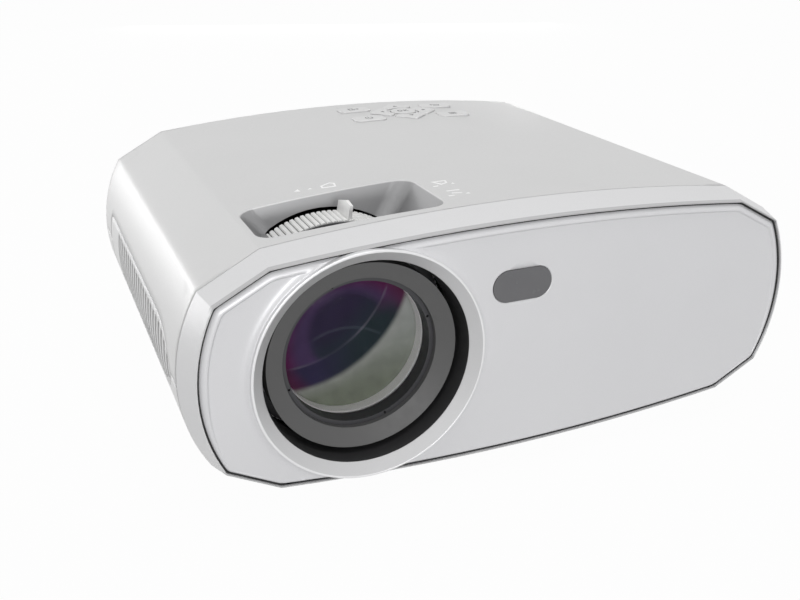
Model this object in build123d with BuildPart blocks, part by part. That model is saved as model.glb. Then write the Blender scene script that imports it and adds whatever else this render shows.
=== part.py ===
from build123d import *
import math
import os

os.makedirs("parts", exist_ok=True)

# Home projector. X runs across the body, Y from its front to its back, Z up.
# The origin lies under the middle of the body, on the surface that its feet stand on.

# Body section, an octagon whose four long sides bulge as arcs
body_width = 300.0
crown_margin = 8.3
side_bulge = 11.0
top_crown = 6.8
corner_run = 25.5
corner_drop = 13.9
edge_round = 1.2
rear_space = 29.8
wall = 2.5
seam = 0.3
fit_gap = 0.15
touch_gap = 0.3

# Sloping bezels and the flat panels that they hold, alike at the front and the back
bezel_length = 12.9
face_in_side = 3.9
face_in_corner = 0.5
face_drop_side = 3.1
face_drop_corner = 5.2
face_crown = 5.7
face_bulge = 8.8
bezel_lip = 0.55
bezel_inset = 5.0
bezel_spigot = 4.1
panel_gap = 0.9
panel_thickness = 3.0
panel_rim = 3.2
panel_recess = 0.8
ledge_width = 4.5
ledge_thickness = 2.5

# Lens well, barrel and focusing mechanism, on the lens axis
lens_inset = 77.6
ring_proud = 2.6
ring_edge = 1.0
ring_flare = 4.7
barrel_gap = 3.3
well_wall = 3.1
well_depth = 20.5
throat_depth = 1.7
land_width = 0.4
cove_width = 7.0
lug_reach = 8.0
lug_height = 10.0
lug_thickness = 3.0
funnel_width = 7.9
barrel_front = 8.4
barrel_head = 13.1
barrel_tail = 36.5
tail_wall = 3.3
funnel_depth = 3.3
front_bore = 34.7
front_bore_depth = 18.5
seat_lip = 3.7
middle_seat_width = 1.5
rear_seat_width = 2.5
middle_seat = 22.5
rear_seat = 28.5
retainer_wall = 2.1
retainer_set_back = 2.3
retainer_length = 7.2
spanner_hole = 0.6
front_lens_edge = 8.0
front_lens_rise = 6.0
middle_lens_edge = 4.0
rear_lens_edge = 5.0
lens_dish = 2.0
rear_retainer_length = 2.6
mount_front = 25.0
mount_wall = 2.6
mount_gap = 0.3
mount_back = 67.4
flange_thickness = 3.0
collar_height = 3.1
collar_thickness = 2.7
clip_length = 2.4
clip_depth = 0.5
clip_height = 2.3

# Focusing ring, its tab and its three cam pins
grip_front = 41.0
grip_width = 16.0
grip_wall = 9.3
grip_rib = 0.9
grip_count = 124
focus_turn = 60.0
focus_travel = 8.0
tab_rest = 8.0
tab_limit = 30.0
tab_thickness = 1.6
tab_height = 7.0
pin_count = 3
pin_radius = 1.6
pin_engagement = 3.4
pin_depth = 2.4
pin_back = 8.8
cam_gap = 0.6
cam_stretch = 1.05

# Finger recess over the focusing ring
recess_half = 41.5
recess_front = 19.0
recess_back = 61.5
recess_depth = 13.5
grip_show = 7.0
recess_floor_half = 31.0
recess_floor_front = 27.0
recess_floor_back = 57.8
recess_round = 8.0
recess_wall = 2.0
slot_gap = 0.7
slot_front_gap = 3.4
slot_back_gap = 5.5

# Infrared windows
window_width = 28.6
window_height = 14.7
window_thickness = 1.5
window_offset = 70.6
window_z = 25.1
window_ledge = 1.2
rear_window_x = -26.0
rear_window_z = 14.0

# Side grilles
grille_half_height = 14.5
grille_front = 27.3
grille_nose = 31.0
grille_end = 23.9
grille_corner = 6.0
grille_gap = 0.4
grille_flange = 3.0
grille_flange_thickness = 1.3
slat_first = 32.5
slat_pitch = 6.73
slat_count = 22
slat_width = 2.8
slat_margin = 2.6

# Key pad
pad_x = 26.0
pad_end = 31.9
diamond = 23.0
diamond_web = 1.4
ok_radius = 7.5
side_key_x = 27.0
side_key_y = 13.0
side_key_width = 19.0
side_key_depth = 11.0
key_round = 1.6
key_proud = 0.8
key_travel = 0.8
key_gap = 0.35
key_flange = 0.8
key_flange_thickness = 1.0
key_plunger = 1.5
dome_radius = 3.0
dome_height = 1.5
key_board_drop = 9.4
key_board_margin = 5.0
key_post = 2.2

# Printed boards
board = 1.6
board_gap = 4.4
main_side = 50.0
main_front = 120.0
main_rise = 35.9
foot_board_gap = 4.0
power_side = 38.0
power_front = 24.0
power_back = 82.0
power_rise = 25.9
chip = 24.0
chip_height = 7.0
chip_y = 45.0
bank_offset = 34.0
bank_y = 32.0
bank_columns = 2
bank_rows = 3
bank_pitch_x = 13.0
bank_pitch_y = 15.0
choke = 9.0
choke_height = 5.0
small_can = 4.0
small_can_height = 10.0
transformer_width = 30.0
transformer_depth = 34.0
transformer_height = 24.0
large_can = 9.0
large_can_height = 28.0
large_can_pitch = 22.0
large_can_inset = 18.0
filter_width = 18.0
filter_depth = 30.0
filter_height = 16.0
filter_inset = 20.0
standoff = 3.5
standoff_margin = 7.0

# Light engine
box_width = 96.0
box_margin = 1.1
box_length = 98.0
box_wall = 2.5
box_front_wall = 4.0
box_cover = 2.5
groove = 1.0
plate_thickness = 3.0
front_field_gap = 22.6
lcd_gap = 10.0
rear_field_gap = 12.0
condenser_gap = 25.4
condenser_margin = 6.0
condenser_edge = 4.0
condenser_rise = 9.0
divider = 2.0
divider_lip = 2.5
led_window = 15.0
led_plate = 50.0
led_plate_thickness = 2.6
led_dome = 10.0
post_radius = 4.0
sink_margin_x = 7.0
sink_margin_z = 4.0
sink_base = 5.0
sink_depth = 44.0
fin_count = 12
fin_thickness = 1.5

# Fans
fan_size = 60.0
fan_thickness = 15.0
fan_inset = 9.5
fan_mouth = 28.0
fan_blade_gap = 1.2
root_pitch = 50.0
tip_pitch = 62.0
fan_hub = 12.0
fan_hub_wall = 1.5
fan_blades = 7
fan_shaft = 1.5
fan_boss = 4.0
fan_arm = 4.0
fan_plate = 2.0
exhaust_set_back = 29.0
intake_y = 75.0
shaft_gap = 0.05

# Speakers
speaker_inset = 47.0
speaker_z = 10.0
speaker_radius = 20.0
speaker_depth = 19.0
speaker_magnet = 10.0
speaker_slots = 7
speaker_slot_pitch = 4.6
speaker_slot_height = 2.2

# Feet, screws and the ceiling mounting threads
foot_height = 6.6
rear_foot_inset = 55.0
rear_foot_end = 28.9
rear_foot_radius = 9.0
foot_boss = 11.0
boss_proud = 0.5
front_foot_y = 38.0
foot_travel = 12.0
stem_grip = 14.0
stem_radius = 4.0
stem_gap = 0.08
knob_radius = 13.0
knob_ribs = 24
knob_rib = 0.8
foot_boss_wall = 4.0
foot_boss_height = 22.0
screw_inset = 17.0
screw_front = 24.5
screw_boss = 5.0
screw_head = 3.0
screw_head_height = 2.0
screw_shank = 1.5
screw_length = 40.0
screw_seat_z = -30.0
insert_x = 60.0
insert_front = 90.0
insert_spacing = 100.0
insert_radius = 2.9
insert_bore = 1.65
insert_length = 8.0
insert_boss = 5.0
lens_screw_margin = 6.0
lens_screw_head = 2.75

# Sockets on the rear panel
inlet_x = 42.0
inlet_z = 14.0
inlet_width = 31.0
inlet_height = 24.0
inlet_depth = 22.0
inlet_flange = 2.0
inlet_rim = 2.0
inlet_wall = 1.6
inlet_cavity = 16.0
inlet_pin_length = 13.0
inlet_pin_x = 7.0
inlet_pin_z = 2.0
inlet_pin_width = 2.0
inlet_pin_height = 4.0
socket_gap = 0.3
socket_skin = 0.6
socket_tongue = 1.2
hdmi_inset = 12.0
hdmi_pitch = 20.0
hdmi_width = 15.0
hdmi_height = 5.6
hdmi_length = 11.5
usb_inset = 50.0
usb_pitch = 16.0
usb_width = 13.2
usb_height = 5.8
usb_length = 14.0
vga_inset = 92.0
vga_width = 31.0
vga_height = 12.5
vga_depth = 9.0
vga_nose = 3.0
vga_shell_width = 17.5
vga_shell_height = 8.4
vga_slope = 1.2
vga_lip = 0.6
vga_post_x = 12.5
vga_post = 2.5
vga_contact = 0.5
vga_contact_x = 2.29
vga_contact_z = 1.98

# Derived heights and depths
barrel_radius = front_bore + funnel_width
tail_radius = front_bore + tail_wall
light_bore = front_bore - seat_lip
middle_bore = light_bore + middle_seat_width
rear_bore = middle_bore + rear_seat_width
retainer_bore = front_bore - retainer_wall
spanner_radius = front_bore - retainer_wall / 2
well_radius = barrel_radius + barrel_gap
ring_mouth = well_radius + ring_flare
ring_radius = ring_mouth + ring_edge
body_height = 2 * (ring_radius + crown_margin)
axis_z = foot_height + body_height / 2
floor_z = -body_height / 2
lens_x = lens_inset - body_width / 2
box_back = mount_back + box_length
sink_front = box_back + led_plate_thickness
sink_back = sink_front + sink_depth
shell_length = sink_back + rear_space - 2 * bezel_length
back_y = bezel_length + shell_length
depth = ring_proud + 2 * bezel_length + shell_length
front = ring_proud - depth / 2
shell_front = front + bezel_length
shell_back = shell_front + shell_length
rear = shell_back + bezel_length
side_x = body_width / 2 - side_bulge
top_x = side_x - corner_run
top_z = body_height / 2 - top_crown
side_z = top_z - corner_drop
sleeve_radius = well_radius + well_wall
mount_bore = tail_radius + mount_gap
mount_radius = mount_bore + mount_wall
grip_bore = mount_radius + mount_gap
grip_tip = grip_bore + grip_wall
pin_root = tail_radius - pin_depth
pin_reach = grip_bore + pin_engagement
collar_radius = mount_radius + collar_height
clip_radius = mount_radius + clip_height
box_half_height = mount_radius + box_margin
lens_screw_x = box_width / 2 - lens_screw_margin
lens_screw_z = box_half_height - lens_screw_margin
condenser_radius = box_half_height - condenser_margin
front_field_y = mount_back + front_field_gap
lcd_y = front_field_y + lcd_gap
rear_field_y = lcd_y + rear_field_gap
condenser_y = box_back - condenser_gap
sink_width = box_width - 2 * sink_margin_x
sink_height = 2 * (box_half_height - sink_margin_z)
recess_floor_z = grip_tip - grip_show
recess_rim_z = recess_floor_z + recess_depth
window_x = lens_x + window_offset
grille_back = back_y - grille_end
pad_y = back_y - pad_end
key_board_z = body_height / 2 - key_board_drop
main_left = lens_x + box_width / 2 + board_gap
main_right = body_width / 2 - main_side
main_z = floor_z + main_rise
hdmi_x = main_right - hdmi_inset
usb_x = main_right - usb_inset
vga_x = main_right - vga_inset
power_left = stem_radius + foot_boss_wall + foot_board_gap
power_right = body_width / 2 - power_side
power_z = floor_z + power_rise
exhaust_y = sink_back - exhaust_set_back
speaker_x = body_width / 2 - speaker_inset
rear_foot_x = body_width / 2 - rear_foot_inset
rear_foot_y = back_y - rear_foot_end
screw_x = body_width / 2 - screw_inset
screw_back = back_y - bezel_spigot - screw_boss - touch_gap
insert_back = insert_front + insert_spacing
grip_back = grip_front + grip_width
pin_y = grip_front + pin_back
turn_down = tab_rest + tab_limit
turn_up = tab_limit - tab_rest
travel_per_degree = focus_travel / focus_turn
key_rest_gap = key_travel + shaft_gap
stem_length = foot_travel + stem_grip
lens_plane = Plane(origin=(lens_x, front, axis_z))
lens_axis = Axis((lens_x, front, axis_z), (0, 1, 0))
side_plane = Plane(origin=(0, front, axis_z), x_dir=(0, 1, 0), z_dir=(1, 0, 0))
half_web = diamond_web / 2 + key_gap


def facing(y, x=0.0, z=0.0):
    """Sketch plane that looks out of the front, with its middle at x and at z from the lens axis."""
    return Plane(origin=(x, y, axis_z + z), x_dir=(1, 0, 0), z_dir=(0, -1, 0))


def level(z, x=0.0, y=0.0):
    """Sketch plane that looks up, z above the lens axis."""
    return Plane(origin=(x, y, axis_z + z), x_dir=(1, 0, 0), z_dir=(0, 0, 1))


def cap(radius, rise, reach):
    """Height at reach from its axis of a spherical cap with this radius and rise."""
    sphere = (radius**2 + rise**2) / (2 * rise)
    return math.sqrt(sphere**2 - reach**2) - (sphere - rise)


def around_lens(degrees, radius):
    """Sketch plane that looks away from the lens axis at the cam pins, its X clockwise from the front."""
    angle = math.radians(degrees)
    outward = Vector(math.sin(angle), 0, math.cos(angle))
    clockwise = Vector(math.cos(angle), 0, -math.sin(angle))
    middle = Vector(lens_x, front + pin_y, axis_z)
    return Plane(origin=middle + outward * radius, x_dir=clockwise, z_dir=outward)


def top_surface(x):
    """Height of the crowned top above the lens axis, at x from the middle."""
    return top_z + top_crown * (1 - (x / top_x) ** 2)


def eight_sided(side, side_height, top, top_height, crown, bulge, inset, rounding):
    """Closed outline with bulging long sides and straight corners."""
    with BuildSketch() as outline:
        with BuildLine():
            ThreePointArc((-top, top_height), (0, top_height + crown), (top, top_height))
            Line((top, top_height), (side, side_height))
            ThreePointArc((side, side_height), (side + bulge, 0), (side, -side_height))
            Line((side, -side_height), (top, -top_height))
            ThreePointArc((top, -top_height), (0, -top_height - crown), (-top, -top_height))
            Line((-top, -top_height), (-side, -side_height))
            ThreePointArc((-side, -side_height), (-side - bulge, 0), (-side, side_height))
            Line((-side, side_height), (-top, top_height))
        make_face()
        if inset > 0:
            offset(amount=-inset, kind=Kind.ARC)
        if inset < 0:
            offset(amount=-inset, kind=Kind.INTERSECTION)
        if rounding > 0:
            fillet(outline.vertices(), rounding)
    return outline.sketch


def shell_outline(inset=0.0, rounding=0.0):
    """Section of the shells, drawn in by inset."""
    return eight_sided(side_x, side_z, top_x, top_z, top_crown, side_bulge, inset, rounding)


def face_outline(inset=0.0, rounding=0.0):
    """Section of the bezel at its panel, drawn in by inset."""
    return eight_sided(
        side_x - face_in_side,
        side_z - face_drop_side,
        top_x - face_in_corner,
        top_z - face_drop_corner,
        face_crown,
        face_bulge,
        inset,
        rounding,
    )


def grille_outline(grow):
    """Side outline of a grille: a long elliptical nose at the front and rounded corners at the back."""
    half = grille_half_height + grow
    middle = grille_front + grille_nose
    with BuildSketch() as outline:
        with BuildLine():
            EllipticalCenterArc((middle, 0), grille_nose + grow, half, start_angle=90, arc_size=180)
            Line((middle, -half), (grille_back + grow, -half))
            Line((grille_back + grow, -half), (grille_back + grow, half))
            Line((grille_back + grow, half), (middle, half))
        make_face()
        fillet(outline.vertices().group_by(Axis.X)[-1], grille_corner + grow)
    return outline.sketch


def recess(grow):
    """Space of the finger recess, larger by grow, with sloping walls carried up past the crown."""
    drop = recess_rim_z - recess_floor_z
    with BuildPart() as space:
        for z in (recess_floor_z - grow, body_height / 2 + 2):
            share = (z - recess_floor_z) / drop
            half = recess_floor_half + share * (recess_half - recess_floor_half) + grow
            near = recess_floor_front + share * (recess_front - recess_floor_front) - grow
            far = recess_floor_back + share * (recess_back - recess_floor_back) + grow
            with BuildSketch(level(z, lens_x, front + (near + far) / 2)):
                RectangleRounded(2 * half, far - near, recess_round)
        loft()
    return space.part


def shell_tube(z_side):
    """Upper (1) or lower (-1) half of the body's tube, with half of each grille's opening."""
    with BuildPart() as tube:
        with BuildSketch(facing(shell_back - seam)):
            add(shell_outline(0, edge_round))
        extrude(amount=shell_length - 2 * seam)
        with BuildSketch(facing(shell_back)):
            add(shell_outline(wall))
        extrude(amount=shell_length, mode=Mode.SUBTRACT)
        with BuildSketch(side_plane):
            add(grille_outline(grille_gap))
        extrude(amount=body_width, both=True, mode=Mode.SUBTRACT)
        kept = Keep.TOP if z_side > 0 else Keep.BOTTOM
        split(bisect_by=Plane.XY.offset(axis_z + z_side * seam / 2), keep=kept)
    return tube.part


def diamond_key(degrees):
    """One quarter of the diamond round the middle key, turned to its place."""
    with BuildSketch() as quarter:
        Polygon((0, 0), (diamond / 2, diamond / 2), (0, diamond), (-diamond / 2, diamond / 2), align=None)
        offset(amount=-half_web, kind=Kind.INTERSECTION)
        Circle(ok_radius + 2 * half_web, mode=Mode.SUBTRACT)
        fillet(quarter.vertices(), key_round)
    with BuildSketch() as turned:
        add(quarter.sketch, rotation=degrees)
    return turned.sketch


def side_key():
    """One of the four oblong keys beside the diamond."""
    with BuildSketch() as oblong:
        RectangleRounded(side_key_width, side_key_depth, 2 * key_round)
    return oblong.sketch


def round_key():
    """Round key in the middle of the diamond."""
    with BuildSketch() as disc:
        Circle(ok_radius)
    return disc.sketch


def save(piece, name):
    """Label a finished piece and write it under its own name."""
    piece.part.label = name
    export_step(piece.part, f"parts/{name}.step")


# Front and rear bezels, which slope from the shells down to their panels
for name, outer_y, inward in (("front_bezel", front, 1), ("rear_bezel", rear, -1)):
    with BuildPart() as bezel:
        with BuildSketch(facing(outer_y)):
            add(face_outline(-panel_gap / 2 - bezel_lip, edge_round))
        with BuildSketch(facing(outer_y + inward * bezel_length)):
            add(shell_outline(0, edge_round))
        loft()
        with BuildSketch(facing(outer_y + inward * bezel_length)):
            add(shell_outline(wall + fit_gap))
        extrude(amount=-inward * bezel_spigot)
        with BuildSketch(facing(outer_y)):
            add(face_outline(-panel_gap / 2, edge_round))
        extrude(amount=-inward * panel_thickness, mode=Mode.SUBTRACT)
        with BuildSketch(facing(outer_y)):
            add(face_outline(ledge_width))
        extrude(amount=-inward * (bezel_length + bezel_spigot), mode=Mode.SUBTRACT)
        with BuildSketch(facing(outer_y + inward * (panel_thickness + ledge_thickness))):
            add(shell_outline(bezel_inset))
        extrude(amount=-inward * (bezel_length + bezel_spigot), mode=Mode.SUBTRACT)
        if name == "front_bezel":
            with BuildSketch(facing(front)):
                with Locations((lens_x, 0)):
                    Circle(sleeve_radius + touch_gap)
            extrude(amount=-bezel_length / 2, mode=Mode.SUBTRACT)
    save(bezel, name)

# Space sunk into the front panel's face inside its rim, with a soft cove left round the lens
with BuildPart() as face_recess:
    with BuildSketch(facing(front + panel_recess)):
        add(face_outline(panel_gap / 2 + panel_rim, edge_round))
    extrude(amount=panel_recess + 1)
    with BuildSketch(lens_plane):
        with BuildLine():
            land = ring_radius + land_width
            Line((0, -1), (land, -1))
            Line((land, -1), (land, 0))
            ThreePointArc(
                (land, 0),
                (land + cove_width / 2, 0.75 * panel_recess),
                (land + cove_width, panel_recess),
            )
            Line((land + cove_width, panel_recess), (0, panel_recess))
            Line((0, panel_recess), (0, -1))
        make_face()
    revolve(axis=lens_axis, mode=Mode.SUBTRACT)

# Front panel
with BuildPart() as front_panel:
    with BuildSketch(facing(front + panel_thickness)):
        add(face_outline(panel_gap / 2, edge_round))
    extrude(amount=panel_thickness)
    add(face_recess.part, mode=Mode.SUBTRACT)
    with BuildSketch(facing(front + panel_thickness)):
        with Locations((lens_x, 0)):
            Circle(sleeve_radius + touch_gap)
        with Locations((window_x, window_z)):
            SlotOverall(window_width - 2 * window_ledge, window_height - 2 * window_ledge)
    extrude(amount=panel_thickness, mode=Mode.SUBTRACT)
    with BuildSketch(facing(front + panel_recess + window_thickness)):
        with Locations((window_x, window_z)):
            SlotOverall(window_width + 2 * fit_gap, window_height + 2 * fit_gap)
    extrude(amount=panel_thickness, mode=Mode.SUBTRACT)
save(front_panel, "front_panel")

# Infrared window in the front panel
with BuildPart() as front_ir_window:
    with BuildSketch(facing(front + panel_recess + window_thickness, window_x, window_z)):
        SlotOverall(window_width, window_height)
    extrude(amount=window_thickness)
save(front_ir_window, "front_ir_window")

# Trim ring, a funnel that leads into the lens well
with BuildPart() as lens_trim_ring:
    with BuildSketch(lens_plane):
        Polygon(
            (well_radius, throat_depth),
            (ring_mouth, -ring_proud),
            (ring_radius, -ring_proud),
            (ring_radius, 0),
            (sleeve_radius, 0),
            (sleeve_radius, throat_depth),
            align=None,
        )
    revolve(axis=lens_axis)
    fillet(lens_trim_ring.edges().filter_by(GeomType.CIRCLE).group_by(Axis.Y)[0], 0.4)
save(lens_trim_ring, "lens_trim_ring")

# Black sleeve behind the trim ring, with a lug on each side against the panel
with BuildPart() as lens_sleeve:
    with BuildSketch(facing(front + panel_thickness + lug_thickness, lens_x)):
        Rectangle(2 * (sleeve_radius + lug_reach), lug_height)
    extrude(amount=lug_thickness)
    with BuildSketch(facing(front + well_depth, lens_x)):
        Circle(sleeve_radius)
    extrude(amount=well_depth - throat_depth)
    with BuildSketch(facing(front + well_depth, lens_x)):
        Circle(well_radius)
    extrude(amount=well_depth, mode=Mode.SUBTRACT)
save(lens_sleeve, "lens_sleeve")

# Barrel, which slides in the lens mount and holds three lenses
barrel_seat = barrel_front + funnel_depth + front_bore_depth
with BuildPart() as lens_barrel:
    with BuildSketch(lens_plane):
        Polygon(
            (front_bore, barrel_front + funnel_depth),
            (barrel_radius, barrel_front),
            (barrel_radius, barrel_front + barrel_head),
            (tail_radius, barrel_front + barrel_head),
            (tail_radius, barrel_front + barrel_head + barrel_tail),
            (rear_bore, barrel_front + barrel_head + barrel_tail),
            (rear_bore, barrel_front + barrel_head + rear_seat),
            (middle_bore, barrel_front + barrel_head + rear_seat),
            (middle_bore, barrel_front + barrel_head + middle_seat),
            (light_bore, barrel_front + barrel_head + middle_seat),
            (light_bore, barrel_seat),
            (front_bore, barrel_seat),
            align=None,
        )
    revolve(axis=lens_axis)
    for number in range(pin_count):
        with BuildSketch(around_lens(90 * (number + 1), pin_root - shaft_gap)):
            Circle(pin_radius + shaft_gap)
        extrude(amount=tail_radius, mode=Mode.SUBTRACT)
save(lens_barrel, "lens_barrel")

# Three pins in the barrel, which the cam slots of the focusing ring drive
with BuildPart() as cam_pins:
    for number in range(pin_count):
        with BuildSketch(around_lens(90 * (number + 1), pin_root)):
            Circle(pin_radius)
        extrude(amount=pin_reach - pin_root)
save(cam_pins, "cam_pins")

# Threaded ring that holds the front lens, with holes for a pin spanner
retainer_front = barrel_front + funnel_depth + retainer_set_back
with BuildPart() as lens_retaining_ring:
    with BuildSketch(facing(front + retainer_front + retainer_length, lens_x)):
        Circle(front_bore - shaft_gap)
        Circle(retainer_bore, mode=Mode.SUBTRACT)
    extrude(amount=retainer_length)
    with BuildSketch(facing(front + retainer_front + 2, lens_x)):
        with PolarLocations(spanner_radius, 4, 20):
            Circle(spanner_hole)
    extrude(amount=2, mode=Mode.SUBTRACT)
save(lens_retaining_ring, "lens_retaining_ring")

# Front lens, a domed disc that rests on the barrel's seat
front_lens_top = barrel_seat - front_lens_edge
front_lens_radius = front_bore - shaft_gap
front_lens_dome = cap(front_lens_radius, front_lens_rise, front_lens_radius / 2)
with BuildPart() as front_lens:
    with BuildSketch(lens_plane):
        with BuildLine():
            Line((0, front_lens_top - front_lens_rise), (0, barrel_seat - lens_dish))
            ThreePointArc(
                (0, barrel_seat - lens_dish),
                (light_bore / 2, barrel_seat - cap(light_bore, lens_dish, light_bore / 2)),
                (light_bore, barrel_seat),
            )
            Line((light_bore, barrel_seat), (front_lens_radius, barrel_seat))
            Line((front_lens_radius, barrel_seat), (front_lens_radius, front_lens_top))
            ThreePointArc(
                (front_lens_radius, front_lens_top),
                (front_lens_radius / 2, front_lens_top - front_lens_dome),
                (0, front_lens_top - front_lens_rise),
            )
        make_face()
    revolve(axis=lens_axis)
save(front_lens, "front_lens")

# Middle and rear lenses, dished on their front faces
for name, seat, edge, radius in (
    ("middle_lens", middle_seat, middle_lens_edge, middle_bore - shaft_gap),
    ("rear_lens", rear_seat, rear_lens_edge, rear_bore - shaft_gap),
):
    near = barrel_front + barrel_head + seat
    far = near + edge
    with BuildPart() as inner_lens:
        with BuildSketch(lens_plane):
            with BuildLine():
                Line((0, near + lens_dish), (0, far))
                Line((0, far), (radius, far))
                Line((radius, far), (radius, near))
                Line((radius, near), (light_bore, near))
                dish = cap(light_bore, lens_dish, light_bore / 2)
                ThreePointArc((light_bore, near), (light_bore / 2, near + dish), (0, near + lens_dish))
            make_face()
        revolve(axis=lens_axis)
    save(inner_lens, name)

# Ring that holds the rear lens in the barrel's tail
rear_lens_back = barrel_front + barrel_head + rear_seat + rear_lens_edge
with BuildPart() as rear_retaining_ring:
    with BuildSketch(facing(front + rear_lens_back + rear_retainer_length, lens_x)):
        Circle(rear_bore - shaft_gap)
        Circle(light_bore, mode=Mode.SUBTRACT)
    extrude(amount=rear_retainer_length)
save(rear_retaining_ring, "rear_retaining_ring")

# Lens mount, a tube on a flange that guides the barrel and carries the focusing ring
clip_back = grip_front - touch_gap
clip_front = clip_back - clip_length
flange_front = mount_back - flange_thickness
collar_front = grip_back + touch_gap
pin_slot = focus_travel + 2 * (pin_radius + mount_gap)
pin_slot_middle = (turn_up - turn_down) * travel_per_degree / 2
with BuildPart() as lens_mount:
    with BuildSketch(lens_plane):
        Polygon(
            (mount_bore, mount_front),
            (mount_radius, mount_front),
            (mount_radius, clip_front),
            (mount_radius - clip_depth, clip_front),
            (mount_radius - clip_depth, clip_back),
            (mount_radius, clip_back),
            (mount_radius, collar_front),
            (collar_radius, collar_front),
            (collar_radius, collar_front + collar_thickness),
            (mount_radius, collar_front + collar_thickness),
            (mount_radius, mount_back),
            (mount_bore, mount_back),
            align=None,
        )
    revolve(axis=lens_axis)
    with BuildSketch(facing(front + mount_back, lens_x)):
        RectangleRounded(box_width, 2 * box_half_height, 4)
        Circle(mount_radius, mode=Mode.SUBTRACT)
        with GridLocations(2 * lens_screw_x, 2 * lens_screw_z, 2, 2):
            Circle(screw_shank + shaft_gap, mode=Mode.SUBTRACT)
    extrude(amount=flange_thickness)
    for number in range(pin_count):
        with BuildSketch(around_lens(90 * (number + 1), mount_bore - 1)):
            with Locations((0, pin_slot_middle)):
                Rectangle(2 * (pin_radius + mount_gap), pin_slot)
        extrude(amount=mount_wall + 2, mode=Mode.SUBTRACT)
save(lens_mount, "lens_mount")

# Split clip that keeps the focusing ring on the mount
with BuildPart() as ring_clip:
    with BuildSketch(facing(front + clip_back, lens_x)):
        Circle(clip_radius)
        Circle(mount_radius - clip_depth + shaft_gap, mode=Mode.SUBTRACT)
        with Locations((0, -clip_radius)):
            Rectangle(6, 3 * mount_wall, mode=Mode.SUBTRACT)
    extrude(amount=clip_length)
save(ring_clip, "ring_clip")

# Cam slots, a tilted groove for each pin that stops short of the ring's grip
cam_mean = (grip_bore + pin_reach) / 2
cam_rise = cam_stretch * travel_per_degree / math.radians(1) / cam_mean
cam_low = -pin_reach * math.sin(math.radians(turn_up))
cam_high = pin_reach * math.sin(math.radians(turn_down))
cam_middle = (cam_low + cam_high) / 2
cam_length = math.hypot(cam_high - cam_low, (cam_high - cam_low) * cam_rise) + 2 * (pin_radius + cam_gap)
cam_tilt = -math.degrees(math.atan(cam_rise))
with BuildPart() as cam_slots:
    for number in range(pin_count):
        with BuildSketch(around_lens(90 * (number + 1), cam_mean / 2)):
            with Locations(Location((cam_middle, -cam_middle * cam_rise, 0), cam_tilt)):
                SlotOverall(cam_length, 2 * (pin_radius + cam_gap))
        extrude(amount=pin_reach)
    with BuildSketch(facing(front + grip_back + 5, lens_x)):
        Circle(pin_reach + cam_gap)
    extrude(amount=grip_width + 10, mode=Mode.INTERSECT)

# Focusing ring with a ribbed grip
rib_angle = 2 * math.pi / grip_count
rib_points = []
for number in range(grip_count):
    for radius, share in ((grip_tip - grip_rib, -0.5), (grip_tip, -0.28), (grip_tip, 0.28)):
        angle = (number + share) * rib_angle
        rib_points.append((radius * math.sin(angle), radius * math.cos(angle)))
with BuildPart() as focus_ring:
    with BuildSketch(facing(front + grip_back, lens_x)):
        Polygon(*rib_points, align=None)
        Circle(grip_bore, mode=Mode.SUBTRACT)
    extrude(amount=grip_width)
    add(cam_slots.part, mode=Mode.SUBTRACT)
    with BuildSketch(facing(front + grip_back, lens_x)):
        with Locations(Location((0, 0, 0), -tab_rest)):
            with Locations((0, grip_tip)):
                Rectangle(tab_thickness + 2 * shaft_gap, 2 * (grip_rib + 1))
    extrude(amount=grip_width - 1, mode=Mode.SUBTRACT)
save(focus_ring, "focus_ring")

# Upright tab that stands in a groove of the focusing ring
tab_root = grip_tip - grip_rib - 1 + shaft_gap
tab_angle = math.radians(tab_rest)
tab_outward = Vector(math.sin(tab_angle), 0, math.cos(tab_angle))
tab_plane = Plane(
    origin=(lens_x, front, axis_z),
    x_dir=tab_outward,
    z_dir=(-math.cos(tab_angle), 0, math.sin(tab_angle)),
)
with BuildPart() as focus_tab:
    with BuildSketch(tab_plane.offset(-tab_thickness / 2)):
        Polygon(
            (tab_root, grip_back),
            (tab_root, grip_front + 1 + shaft_gap),
            (grip_tip + tab_height - 0.9, grip_front + 1 + shaft_gap),
            (grip_tip + tab_height, grip_front + 0.45 * grip_width),
            (grip_tip + tab_height - 2.2, grip_back - 0.6),
            (grip_tip, grip_back),
            align=None,
        )
    extrude(amount=tab_thickness)
save(focus_tab, "focus_tab")

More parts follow.
